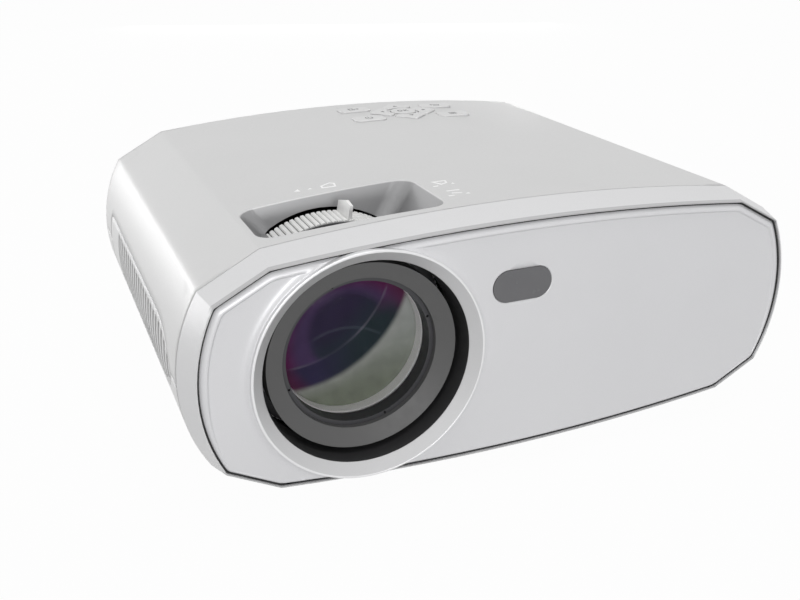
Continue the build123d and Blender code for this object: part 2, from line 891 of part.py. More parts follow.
# Light engine behind the mount: field lens plates, the display panel, the condenser and the lamp
box_front = mount_back
box_inner = box_width / 2 - box_wall
box_top = box_half_height - box_cover
box_floor = box_half_height - box_wall
hollow_front = box_front + box_front_wall
hollow_back = box_back - box_wall
with BuildPart() as optical_box:
    with BuildSketch(facing(front + box_back, lens_x, -box_cover / 2)):
        Rectangle(box_width, 2 * box_half_height - box_cover)
    extrude(amount=box_back - box_front)
    with BuildSketch(level(box_half_height, lens_x, front + (hollow_front + hollow_back) / 2)):
        Rectangle(2 * box_inner, hollow_back - hollow_front)
    extrude(amount=-box_half_height - box_floor, mode=Mode.SUBTRACT)
    with BuildSketch(facing(front + condenser_y, lens_x, -box_cover / 2)):
        Rectangle(2 * box_inner + box_wall, 2 * box_half_height - box_cover)
        with Locations((0, box_cover / 2)):
            Circle(condenser_radius - divider_lip, mode=Mode.SUBTRACT)
    extrude(amount=divider)
    with BuildSketch(facing(front + hollow_front, lens_x)):
        Circle(condenser_radius)
        with GridLocations(2 * lens_screw_x, 2 * lens_screw_z, 2, 2):
            Circle(screw_shank + shaft_gap)
    extrude(amount=2 * box_front_wall, mode=Mode.SUBTRACT)
    with BuildSketch(facing(front + box_back, lens_x)):
        Rectangle(2 * led_window, 2 * led_window)
    extrude(amount=2 * box_wall, mode=Mode.SUBTRACT)
    for plate_y in (front_field_y, lcd_y, rear_field_y):
        with BuildSketch(level(box_top + 1, lens_x, front + plate_y)):
            Rectangle(2 * (box_inner + groove), plate_thickness + 2 * shaft_gap)
        extrude(amount=-box_top - 1 - box_floor, mode=Mode.SUBTRACT)
save(optical_box, "optical_box")

with BuildPart() as optical_cover:
    with BuildSketch(level(box_half_height, lens_x, front + (box_front + box_back) / 2)):
        RectangleRounded(box_width, box_back - box_front, 2)
    extrude(amount=-box_cover)
save(optical_cover, "optical_cover")

plate_side = 2 * (box_inner + groove - shaft_gap)
plate_height = box_top + box_floor - shaft_gap
plate_z = (box_top - box_floor - shaft_gap) / 2
for name, plate_y in (
    ("front_field_lens", front_field_y),
    ("lcd_panel", lcd_y),
    ("rear_field_lens", rear_field_y),
):
    with BuildPart() as plate:
        with BuildSketch(facing(front + plate_y + plate_thickness / 2, lens_x, plate_z)):
            Rectangle(plate_side, plate_height)
        extrude(amount=plate_thickness)
    save(plate, name)

with BuildPart() as condenser_lens:
    with BuildSketch(lens_plane):
        with BuildLine():
            near = condenser_y
            far = condenser_y + condenser_edge
            lens_rim = condenser_radius
            Line((0, near), (lens_rim, near))
            Line((lens_rim, near), (lens_rim, far))
            dome = cap(lens_rim, condenser_rise, lens_rim / 2)
            ThreePointArc((lens_rim, far), (lens_rim / 2, far + dome), (0, far + condenser_rise))
            Line((0, far + condenser_rise), (0, near))
        make_face()
    revolve(axis=lens_axis)
save(condenser_lens, "condenser_lens")

with BuildPart() as led_module:
    with BuildSketch(facing(front + box_back + led_plate_thickness, lens_x)):
        RectangleRounded(led_plate, led_plate, 2)
    extrude(amount=led_plate_thickness)
    with BuildSketch(lens_plane):
        with BuildLine():
            Line((0, box_back), (led_dome, box_back))
            CenterArc((0, box_back), led_dome, -90, 90)
            Line((0, box_back - led_dome), (0, box_back))
        make_face()
    revolve(axis=lens_axis)
save(led_module, "led_module")

with BuildPart() as heatsink:
    with BuildSketch(facing(front + sink_front + sink_base, lens_x)):
        Rectangle(sink_width, sink_height)
    extrude(amount=sink_base)
    with BuildSketch(facing(front + sink_front + sink_depth, lens_x)):
        with GridLocations(sink_width, (sink_height - fin_thickness) / (fin_count - 1), 1, fin_count):
            Rectangle(sink_width, fin_thickness)
    extrude(amount=sink_depth - sink_base)
save(heatsink, "heatsink")

# Screws that hold the lens mount to the light engine
with BuildPart() as lens_screws:
    with BuildSketch(facing(front + flange_front, lens_x)):
        with GridLocations(2 * lens_screw_x, 2 * lens_screw_z, 2, 2):
            Circle(lens_screw_head)
    extrude(amount=screw_head_height)
    with BuildSketch(facing(front + flange_front + flange_thickness + box_front_wall, lens_x)):
        with GridLocations(2 * lens_screw_x, 2 * lens_screw_z, 2, 2):
            Circle(screw_shank)
    extrude(amount=flange_thickness + box_front_wall)
save(lens_screws, "lens_screws")

# Fans, each with a rotor whose shaft runs in the bearing boss of its housing
blade_ends = ((fan_hub - fan_hub_wall / 2, root_pitch), (fan_mouth - fan_blade_gap, tip_pitch))
for name, fan_y, side in (("exhaust", exhaust_y, -1), ("intake", intake_y, 1)):
    inner_x = side * (body_width / 2 - fan_inset - fan_thickness)
    fan_plane = Plane(origin=(inner_x, front + fan_y, axis_z), x_dir=(0, 1, 0), z_dir=(side, 0, 0))
    with BuildPart() as fan_frame:
        with BuildSketch(fan_plane):
            RectangleRounded(fan_size, fan_size, 4)
            Circle(fan_mouth, mode=Mode.SUBTRACT)
        extrude(amount=fan_thickness)
        with BuildSketch(fan_plane):
            Circle(fan_hub)
            Rectangle(2 * fan_mouth + 1, fan_arm)
            Rectangle(fan_arm, 2 * fan_mouth + 1)
        extrude(amount=fan_plate)
        with BuildSketch(fan_plane):
            Circle(fan_boss)
        extrude(amount=fan_thickness / 2)
        with BuildSketch(fan_plane):
            Circle(fan_shaft + shaft_gap)
        extrude(amount=fan_thickness, mode=Mode.SUBTRACT)
    save(fan_frame, f"{name}_fan")
    with BuildPart() as rotor:
        with BuildSketch(fan_plane.offset(fan_plate + 1)):
            Circle(fan_hub)
        extrude(amount=fan_thickness - fan_plate - 2)
        with BuildSketch(fan_plane.offset(fan_plate + 1)):
            Circle(fan_hub - fan_hub_wall)
        extrude(amount=fan_thickness - fan_plate - 2 - fan_hub_wall, mode=Mode.SUBTRACT)
        with BuildSketch(fan_plane.offset(touch_gap)):
            Circle(fan_shaft)
        extrude(amount=fan_thickness - 1.5)
        for number in range(fan_blades):
            turn = math.radians(360 * number / fan_blades)
            outward = fan_plane.x_dir * math.cos(turn) + fan_plane.y_dir * math.sin(turn)
            middle = fan_plane.origin + fan_plane.z_dir * ((fan_thickness + fan_plate) / 2)
            for radius, pitch in blade_ends:
                root = Plane(origin=middle + outward * radius, x_dir=fan_plane.z_dir, z_dir=outward)
                with BuildSketch(root):
                    with Locations(Location((0, 0, 0), pitch)):
                        Rectangle(fan_thickness - fan_plate - 2.5, 1.2)
            loft()
    save(rotor, f"{name}_rotor")


quarter_reach = diamond * 0.62
keys = {
    "key_ok": (round_key(), 0, 0, 0, 0),
    "key_up": (diamond_key(0), 0, 0, 0, quarter_reach),
    "key_left": (diamond_key(90), 0, 0, -quarter_reach, 0),
    "key_down": (diamond_key(180), 0, 0, 0, -quarter_reach),
    "key_right": (diamond_key(270), 0, 0, quarter_reach, 0),
    "key_power": (side_key(), -side_key_x, -side_key_y, 0, 0),
    "key_source": (side_key(), -side_key_x, side_key_y, 0, 0),
    "key_menu": (side_key(), side_key_x, -side_key_y, 0, 0),
    "key_back": (side_key(), side_key_x, side_key_y, 0, 0),
}
screw_spots = [(x, y) for x in (-screw_x, screw_x) for y in (front + screw_front, front + screw_back)]
insert_spots = [(x, y) for x in (-insert_x, insert_x) for y in (front + insert_front, front + insert_back)]
key_board_width = 2 * (side_key_x + side_key_width / 2 + key_board_margin)
key_board_depth = 2 * (diamond + key_board_margin)

# Skin of the finger recess, trimmed by the body's outside
with BuildPart() as recess_skin:
    add(recess(recess_wall))
    with BuildSketch(facing(shell_back)):
        add(shell_outline(wall / 2))
    extrude(amount=shell_length, mode=Mode.INTERSECT)

# Bosses and posts under the roof, trimmed by it
with BuildPart() as roof_posts:
    with BuildSketch(level(seam / 2)):
        with Locations(*screw_spots):
            Circle(screw_boss)
    extrude(amount=body_height / 2)
    with BuildSketch(level(key_board_z, pad_x, front + pad_y)):
        with GridLocations(key_board_width - 3 * key_post, key_board_depth - 3 * key_post, 2, 2):
            Circle(key_post)
    extrude(amount=body_height / 2)
    with BuildSketch(facing(shell_back - seam)):
        add(shell_outline(wall / 2))
    extrude(amount=shell_length - 2 * seam, mode=Mode.INTERSECT)

# Upper shell, with the finger recess, the slot of the focusing ring and the key holes
with BuildPart() as top_shell:
    add(shell_tube(1))
    add(recess_skin.part)
    add(recess(0), mode=Mode.SUBTRACT)
    with BuildSketch(facing(front + grip_back + slot_back_gap, lens_x)):
        Circle(grip_tip + slot_gap)
    extrude(amount=grip_width + slot_back_gap + slot_front_gap, mode=Mode.SUBTRACT)
    add(roof_posts.part)
    with BuildSketch(level(seam / 2)):
        with Locations(*screw_spots):
            Circle(screw_shank - shaft_gap)
    extrude(amount=screw_seat_z + screw_length + 2, mode=Mode.SUBTRACT)
    for shape, key_x, key_y, press_x, press_y in keys.values():
        with BuildSketch(level(body_height / 2 + 1, pad_x + key_x, front + pad_y + key_y)):
            add(shape)
            offset(amount=key_gap, kind=Kind.ARC)
        extrude(amount=-4 * wall, mode=Mode.SUBTRACT)
save(top_shell, "top_shell")

# Bosses, posts and fan cradles that rise from the floor of the lower shell, trimmed by it
box_post_x = box_width / 2 - 2 * post_radius
box_spots = [
    (lens_x + x, front + y) for x in (-box_post_x, box_post_x) for y in (box_front + 8, box_back - 8)
]
sink_spots = [(lens_x + x, front + sink_front + sink_depth / 2) for x in (-sink_width / 3, sink_width / 3)]
main_back = rear - front - panel_thickness - 0.5
main_middle_x = (main_left + main_right) / 2
power_middle_x = (power_left + power_right) / 2
power_middle_y = front + (power_front + power_back) / 2
main_spots = [
    (x, front + y)
    for x in (main_left + standoff_margin, main_right - standoff_margin)
    for y in (main_front + standoff_margin, shell_back - front - standoff_margin - 3)
]
power_spots = [
    (x, front + y)
    for x in (power_left + standoff_margin, power_right - standoff_margin)
    for y in (power_front + standoff_margin, power_back - standoff_margin)
]
fan_x = body_width / 2 - fan_inset - fan_thickness / 2
with BuildPart() as floor_posts:
    for spots, radius, height in (
        (box_spots, post_radius, -box_half_height),
        (sink_spots, post_radius, -sink_height / 2),
        (main_spots, standoff, main_z - board),
        (power_spots, standoff, power_z - board),
        (screw_spots, screw_boss, -seam / 2),
        (insert_spots, insert_boss, floor_z + insert_length + 2 * wall),
        ([(0, front + front_foot_y)], stem_radius + foot_boss_wall, floor_z + foot_boss_height),
    ):
        with BuildSketch(level(floor_z)):
            with Locations(*spots):
                Circle(radius)
        extrude(amount=height - floor_z)
    with BuildSketch(level(floor_z)):
        with Locations(
            (-fan_x, front + exhaust_y),
            (fan_x, front + intake_y),
        ):
            Rectangle(fan_thickness - 1, fan_size * 0.8)
    extrude(amount=-fan_size / 2 - floor_z)
    with BuildSketch(facing(shell_back - seam)):
        add(shell_outline(wall / 2))
    extrude(amount=shell_length - 2 * seam, mode=Mode.INTERSECT)

# Lower shell, with foot bosses, screw wells and the ceiling mounting holes
with BuildPart() as bottom_shell:
    add(shell_tube(-1))
    add(floor_posts.part)
    with BuildSketch(level(floor_z - boss_proud)):
        with Locations((-rear_foot_x, front + rear_foot_y), (rear_foot_x, front + rear_foot_y)):
            Circle(foot_boss)
    extrude(amount=boss_proud + body_height / 2 - side_z)
    with BuildSketch(level(floor_z - 1)):
        with Locations(*screw_spots):
            Circle(screw_head + touch_gap)
    extrude(amount=screw_seat_z - floor_z + 1, mode=Mode.SUBTRACT)
    with BuildSketch(level(floor_z)):
        with Locations(*screw_spots):
            Circle(screw_shank + fit_gap)
    extrude(amount=body_height, mode=Mode.SUBTRACT)
    with BuildSketch(level(floor_z)):
        with Locations(*insert_spots):
            Circle(insert_radius)
    extrude(amount=insert_length + body_height / 2 - top_surface(insert_x), mode=Mode.SUBTRACT)
    with BuildSketch(level(floor_z - 1, 0, front + front_foot_y)):
        Circle(stem_radius + stem_gap)
    extrude(amount=body_height / 2, mode=Mode.SUBTRACT)
save(bottom_shell, "bottom_shell")

# Brass threads for a ceiling bracket
with BuildPart() as mount_inserts:
    with BuildSketch(level(-top_surface(insert_x))):
        with Locations(*insert_spots):
            Circle(insert_radius)
            Circle(insert_bore, mode=Mode.SUBTRACT)
    extrude(amount=insert_length)
save(mount_inserts, "mount_inserts")

# Case screws in their wells
with BuildPart() as case_screws:
    with BuildSketch(level(screw_seat_z)):
        with Locations(*screw_spots):
            Circle(screw_head)
    extrude(amount=-screw_head_height)
    with BuildSketch(level(screw_seat_z)):
        with Locations(*screw_spots):
            Circle(screw_shank - 2 * shaft_gap)
    extrude(amount=screw_length)
save(case_screws, "case_screws")

# Rear feet, soft pads under their bosses
with BuildPart() as rear_feet:
    with BuildSketch(Plane.XY):
        with Locations((-rear_foot_x, front + rear_foot_y), (rear_foot_x, front + rear_foot_y)):
            Circle(rear_foot_radius)
    extrude(amount=foot_height - boss_proud, taper=-4)
    fillet(rear_feet.edges().group_by(Axis.Z)[0], 1)
save(rear_feet, "rear_feet")

# Front foot, a threaded stem that carries a ribbed knob
knob_height = foot_height - touch_gap
with BuildPart() as front_foot_stem:
    with BuildSketch(level(floor_z, 0, front + front_foot_y)):
        Circle(stem_radius)
    extrude(amount=stem_length)
    with BuildSketch(level(floor_z, 0, front + front_foot_y)):
        Circle(stem_radius - 1.5)
    extrude(amount=-knob_height + 2)
save(front_foot_stem, "front_foot_stem")
with BuildPart() as front_foot_knob:
    with BuildSketch(Plane(origin=(0, front + front_foot_y, 0))):
        Circle(knob_radius - knob_rib)
        with PolarLocations(knob_radius - knob_rib, knob_ribs):
            Rectangle(2 * knob_rib, knob_rib * 2)
    extrude(amount=knob_height)
    with BuildSketch(Plane(origin=(0, front + front_foot_y, 2 - touch_gap))):
        Circle(stem_radius - 1.5 + stem_gap)
    extrude(amount=knob_height, mode=Mode.SUBTRACT)
save(front_foot_knob, "front_foot_knob")

# Side grilles, curved with the sides and held by a flange inside the shells
grille_inner = wall + fit_gap + grille_flange_thickness
with BuildPart() as grille_rim:
    with BuildSketch(facing(shell_back)):
        add(shell_outline(wall + fit_gap))
    extrude(amount=shell_length)
    with BuildSketch(side_plane):
        add(grille_outline(grille_flange))
    extrude(amount=body_width, mode=Mode.INTERSECT)
with BuildPart() as right_grille:
    with BuildSketch(facing(shell_back)):
        add(shell_outline())
    extrude(amount=shell_length)
    with BuildSketch(side_plane):
        add(grille_outline(0))
    extrude(amount=body_width, mode=Mode.INTERSECT)
    add(grille_rim.part)
    with BuildSketch(facing(shell_back)):
        add(shell_outline(grille_inner))
    extrude(amount=shell_length, mode=Mode.SUBTRACT)
    with BuildSketch(side_plane):
        for number in range(slat_count):
            slat_y = slat_first + number * slat_pitch
            reach = min(0, slat_y - grille_front - grille_nose) / grille_nose
            height = grille_half_height * math.sqrt(1 - reach**2) - slat_margin
            with Locations((slat_y, 0)):
                Rectangle(slat_width, 2 * height)
    extrude(amount=body_width, mode=Mode.SUBTRACT)
save(right_grille, "right_grille")
with BuildPart() as left_grille:
    add(right_grille.part)
    mirror(about=Plane.YZ, mode=Mode.REPLACE)
save(left_grille, "left_grille")

# Switch board under the key pad, with a dome under each key
dome_spots = [(key_x + press_x, key_y + press_y) for shape, key_x, key_y, press_x, press_y in keys.values()]
with BuildPart() as key_board:
    with BuildSketch(level(key_board_z, pad_x, front + pad_y)):
        Rectangle(key_board_width, key_board_depth)
    extrude(amount=-board)
    with BuildSketch(level(key_board_z, pad_x, front + pad_y)):
        with Locations(*dome_spots):
            Circle(dome_radius)
    extrude(amount=dome_height)
save(key_board, "key_board")

# Keys, each with a flange under the roof and a plunger over its switch
for name, (shape, key_x, key_y, press_x, press_y) in keys.items():
    with BuildPart() as key:
        with BuildSketch(level(0, pad_x + key_x, front + pad_y + key_y)) as cap_sketch:
            add(shape)
        edges = cap_sketch.sketch.bounding_box()
        far_x = max(abs(edges.min.X), abs(edges.max.X)) + key_flange
        top = top_surface(pad_x + key_x + press_x) + key_proud
        flange_top = top_surface(far_x) - wall - touch_gap
        flange_bottom = flange_top - key_flange_thickness
        extrude(amount=top)
        with BuildSketch(level(0, pad_x + key_x, front + pad_y + key_y)):
            add(shape)
            offset(amount=key_flange + 2, kind=Kind.ARC)
        extrude(amount=flange_bottom, mode=Mode.SUBTRACT)
        with BuildSketch(level(flange_bottom, pad_x + key_x, front + pad_y + key_y)):
            add(shape)
            offset(amount=key_flange, kind=Kind.ARC)
        extrude(amount=key_flange_thickness)
        fillet(key.faces().sort_by(Axis.Z)[-1].edges(), 0.4)
        with BuildSketch(level(flange_bottom, pad_x + key_x + press_x, front + pad_y + key_y + press_y)):
            Circle(key_plunger)
        extrude(amount=key_board_z + dome_height + key_rest_gap - flange_bottom)
    save(key, name)

# Main board with its processor block, coils and capacitors
with BuildPart() as main_board:
    with BuildSketch(level(main_z, main_middle_x, front + (main_front + main_back) / 2)):
        Rectangle(main_right - main_left, main_back - main_front)
    extrude(amount=-board)
    with BuildSketch(level(main_z, main_middle_x, front + main_front + chip_y)):
        Rectangle(chip, chip)
    extrude(amount=chip_height)
    with BuildSketch(level(main_z, main_middle_x + bank_offset, front + main_front + bank_y)):
        with GridLocations(bank_pitch_x, bank_pitch_y, bank_columns, bank_rows):
            Rectangle(choke, choke)
    extrude(amount=choke_height)
    with BuildSketch(level(main_z, main_middle_x - bank_offset, front + main_front + bank_y)):
        with GridLocations(bank_pitch_x, bank_pitch_y, bank_columns, bank_rows):
            Circle(small_can)
    extrude(amount=small_can_height)
save(main_board, "main_board")

# Power board with its transformer, filter coil and capacitors
with BuildPart() as power_board:
    with BuildSketch(level(power_z, power_middle_x, power_middle_y)):
        Rectangle(power_right - power_left, power_back - power_front)
    extrude(amount=-board)
    with BuildSketch(level(power_z, power_middle_x, power_middle_y)):
        RectangleRounded(transformer_width, transformer_depth, 2)
    extrude(amount=transformer_height)
    with BuildSketch(level(power_z, power_right - large_can_inset, power_middle_y)):
        with GridLocations(large_can_pitch, large_can_pitch, 1, 2):
            Circle(large_can)
    extrude(amount=large_can_height)
    with BuildSketch(level(power_z, power_left + filter_inset, power_middle_y)):
        Rectangle(filter_width, filter_depth)
    extrude(amount=filter_height)
save(power_board, "power_board")

# Rear panel, pierced for the sockets, the infrared window, the mains inlet and the speakers
socket_face = rear - panel_recess
inlet_nose_width = inlet_width - 2 * inlet_rim
inlet_nose_height = inlet_height - 2 * inlet_rim
sockets = {
    "hdmi_sockets": ((hdmi_x, hdmi_x - hdmi_pitch), hdmi_width, hdmi_height, hdmi_length),
    "usb_sockets": ((usb_x, usb_x - usb_pitch), usb_width, usb_height, usb_length),
}
with BuildPart() as rear_panel:
    with BuildSketch(facing(rear)):
        add(face_outline(panel_gap / 2, edge_round))
    extrude(amount=panel_thickness)
    with BuildSketch(facing(rear)):
        add(face_outline(panel_gap / 2 + panel_rim, edge_round))
    extrude(amount=panel_recess, mode=Mode.SUBTRACT)
    with BuildSketch(facing(rear)):
        with Locations((inlet_x, inlet_z)):
            RectangleRounded(inlet_nose_width + 2 * fit_gap, inlet_nose_height + 2 * fit_gap, 3)
        with Locations((rear_window_x, rear_window_z)):
            SlotOverall(window_width - 2 * window_ledge, window_height - 2 * window_ledge)
        for places, width, height, length in sockets.values():
            with Locations(*[(x, main_z + height / 2) for x in places]):
                Rectangle(width + 2 * socket_gap, height + 2 * socket_gap)
        with Locations((vga_x, main_z + vga_height / 2)):
            Rectangle(vga_width + 2 * socket_gap, vga_height + 2 * socket_gap)
        for middle in (-speaker_x, speaker_x):
            for number in range(speaker_slots):
                slot_z = (number - (speaker_slots - 1) / 2) * speaker_slot_pitch
                half = math.sqrt((speaker_radius - 2) ** 2 - slot_z**2) - 2
                with Locations((middle, speaker_z + slot_z)):
                    Rectangle(2 * half, speaker_slot_height)
    extrude(amount=panel_thickness, mode=Mode.SUBTRACT)
    with BuildSketch(facing(rear)):
        with Locations((rear_window_x, rear_window_z)):
            SlotOverall(window_width + 2 * fit_gap, window_height + 2 * fit_gap)
    extrude(amount=panel_recess + window_thickness, mode=Mode.SUBTRACT)
save(rear_panel, "rear_panel")

with BuildPart() as rear_ir_window:
    with BuildSketch(facing(socket_face, rear_window_x, rear_window_z)):
        SlotOverall(window_width, window_height)
    extrude(amount=window_thickness)
save(rear_ir_window, "rear_ir_window")

# Mains inlet and its three pins
with BuildPart() as power_inlet:
    with BuildSketch(facing(rear - panel_thickness, inlet_x, inlet_z)):
        RectangleRounded(inlet_width, inlet_height, 2)
    extrude(amount=inlet_flange)
    with BuildSketch(facing(socket_face, inlet_x, inlet_z)):
        RectangleRounded(inlet_nose_width, inlet_nose_height, 3)
    extrude(amount=inlet_depth)
    with BuildSketch(facing(socket_face, inlet_x, inlet_z)):
        RectangleRounded(inlet_nose_width - 2 * inlet_wall, inlet_nose_height - 2 * inlet_wall, 2)
    extrude(amount=inlet_cavity, mode=Mode.SUBTRACT)
save(power_inlet, "power_inlet")
with BuildPart() as inlet_pins:
    with BuildSketch(facing(socket_face - inlet_cavity + inlet_pin_length, inlet_x, inlet_z)):
        with Locations((-inlet_pin_x, -inlet_pin_z), (0, inlet_pin_z), (inlet_pin_x, -inlet_pin_z)):
            Rectangle(inlet_pin_width, inlet_pin_height)
    extrude(amount=inlet_pin_length)
save(inlet_pins, "inlet_pins")

# Metal sockets on the main board, each with a tongue in its mouth
for name, (places, width, height, length) in sockets.items():
    with BuildPart() as socket:
        with BuildSketch(facing(socket_face)):
            with Locations(*[(x, main_z + height / 2) for x in places]):
                Rectangle(width, height)
        extrude(amount=length)
        with BuildSketch(facing(socket_face)):
            with Locations(*[(x, main_z + height / 2) for x in places]):
                Rectangle(width - 2 * socket_skin, height - 2 * socket_skin)
                Rectangle(width - 8 * socket_skin, socket_tongue, mode=Mode.SUBTRACT)
        extrude(amount=length - 2 * socket_skin, mode=Mode.SUBTRACT)
    save(socket, name)

# Analogue video socket: a shell with sloping ends, fifteen contacts and two threaded posts
vga_outline = Polyline(
    (-vga_shell_width / 2, vga_shell_height / 2),
    (vga_shell_width / 2, vga_shell_height / 2),
    (vga_shell_width / 2 - vga_slope, -vga_shell_height / 2),
    (-vga_shell_width / 2 + vga_slope, -vga_shell_height / 2),
    close=True,
)
with BuildPart() as vga_socket:
    with BuildSketch(facing(socket_face - vga_nose, vga_x, main_z + vga_height / 2)):
        Rectangle(vga_width, vga_height)
    extrude(amount=vga_depth)
    with BuildSketch(facing(socket_face - vga_nose, vga_x, main_z + vga_height / 2)) as vga_shell:
        add(vga_outline)
        make_face()
        fillet(vga_shell.vertices(), 2 * vga_lip)
        with Locations((-vga_post_x, 0), (vga_post_x, 0)):
            RegularPolygon(vga_post, 6)
            Circle(vga_post / 2, mode=Mode.SUBTRACT)
    extrude(amount=-vga_nose)
    with BuildSketch(facing(socket_face, vga_x, main_z + vga_height / 2)):
        add(vga_outline)
        make_face()
        offset(amount=-vga_lip, kind=Kind.INTERSECTION)
    extrude(amount=2 * vga_lip, mode=Mode.SUBTRACT)
    with BuildSketch(facing(socket_face, vga_x, main_z + vga_height / 2)):
        with GridLocations(vga_contact_x, vga_contact_z, 5, 3):
            Circle(vga_contact)
    extrude(amount=vga_nose, mode=Mode.SUBTRACT)
save(vga_socket, "vga_socket")

# Speakers behind the rear panel
for name, middle in (("speaker_left", -speaker_x), ("speaker_right", speaker_x)):
    speaker_plane = Plane(origin=(middle, rear - panel_thickness, axis_z + speaker_z))
    with BuildPart() as speaker:
        with BuildSketch(speaker_plane):
            Polygon(
                (0, -speaker_depth),
                (speaker_magnet, -speaker_depth),
                (speaker_magnet, -0.6 * speaker_depth),
                (speaker_radius - 1, -2.5),
                (speaker_radius, -2),
                (speaker_radius, 0),
                (speaker_radius - 3, 0),
                (speaker_magnet - 4, -0.3 * speaker_depth),
                (0, -0.2 * speaker_depth),
                align=None,
            )
        revolve(axis=Axis(speaker_plane.origin, (0, 1, 0)))
    save(speaker, name)
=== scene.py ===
"""Looks for the home projector: painted housing, soft-rimmed front panel, coated lens with painted
reflections and printed marks.
"""

import math

import bmesh
import bpy
import numpy as np
from mathutils import Matrix, Vector
from mathutils.bvhtree import BVHTree
from mathutils.geometry import delaunay_2d_cdt


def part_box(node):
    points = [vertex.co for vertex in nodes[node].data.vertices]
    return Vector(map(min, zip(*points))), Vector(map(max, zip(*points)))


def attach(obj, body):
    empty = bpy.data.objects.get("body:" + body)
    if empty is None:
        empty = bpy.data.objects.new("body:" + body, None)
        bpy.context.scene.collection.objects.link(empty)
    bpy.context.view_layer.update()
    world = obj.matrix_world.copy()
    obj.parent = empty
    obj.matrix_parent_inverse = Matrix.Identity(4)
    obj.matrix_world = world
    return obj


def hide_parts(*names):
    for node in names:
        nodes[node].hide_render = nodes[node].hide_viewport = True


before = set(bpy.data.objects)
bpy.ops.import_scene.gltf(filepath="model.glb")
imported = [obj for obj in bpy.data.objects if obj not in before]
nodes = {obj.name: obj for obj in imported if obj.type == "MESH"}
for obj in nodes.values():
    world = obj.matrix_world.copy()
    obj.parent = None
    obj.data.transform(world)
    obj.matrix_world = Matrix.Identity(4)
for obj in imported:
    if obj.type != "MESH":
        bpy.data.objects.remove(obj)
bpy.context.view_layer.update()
MM = 0.001

# Places that the pieces share, read from the frame
trim_low, trim_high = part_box("lens_trim_ring")
LENS_X = (trim_low.x + trim_high.x) / 2
AXIS_Z = (trim_low.z + trim_high.z) / 2
RING_RADIUS = (trim_high.x - trim_low.x) / 2 / MM
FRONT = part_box("front_panel")[0].y
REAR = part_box("rear_panel")[1].y
PANEL_THICKNESS = (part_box("front_panel")[1].y - FRONT) / MM
grip_low, grip_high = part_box("focus_ring")
GRIP_TIP = (grip_high.x - grip_low.x) / 2 / MM

# Crowned top of the shell in mm from the body's axis; past its edge it falls by TOP_FALL a mm
TOP_HALF = 113.5
TOP_HEIGHT = 53.1
TOP_CROWN = 6.8
TOP_FALL = 0.53

# Box round the finger recess: its middle, its reach and the blend past it in x and y
RECESS_BOX = ((LENS_X, FRONT + 40.25 * MM), (50 * MM, 29 * MM), 6 * MM)

# Depths under the top between which the painted shade of the recess's walls starts
WALL_SHADE_DEPTHS = (0.25 * MM, 0.8 * MM)

# Band of painted shade on the bezels: how far along y it is full, its blend, and the heights where it fades
# in
SHADE_BAND_EDGE = -FRONT - 1.5 * MM
SHADE_BAND_BLEND = 0.25 * MM
SHADE_BAND_HEIGHTS = (34 * MM, 37 * MM)

# Painted highlight on the trim ring's lip: radius where it is full, and its blend, in mm
LIP_HIGHLIGHT_RADIUS = RING_RADIUS - 0.9
LIP_HIGHLIGHT_BLEND = 0.3

# Grooves of the focusing ring: radii in mm between which the painted shade in them ends
GROOVE_SHADE_RADII = (GRIP_TIP - 0.95, GRIP_TIP - 0.35)


def srgb(red, green, blue):
    """Linear colour of a screen colour given from 0 to 255."""
    parts = []
    for value in (red, green, blue):
        share = value / 255
        parts.append(share / 12.92 if share <= 0.04045 else ((share + 0.055) / 1.055) ** 2.4)
    return (*parts, 1.0)


def scaled(colour, factor):
    """The same colour, lighter or darker."""
    return tuple(min(1.0, part * factor) for part in colour[:3]) + (1.0,)


def bow(half, rise):
    """Radius of the arc over a chord of twice half that rises by rise."""
    return (half**2 + rise**2) / (2 * rise)


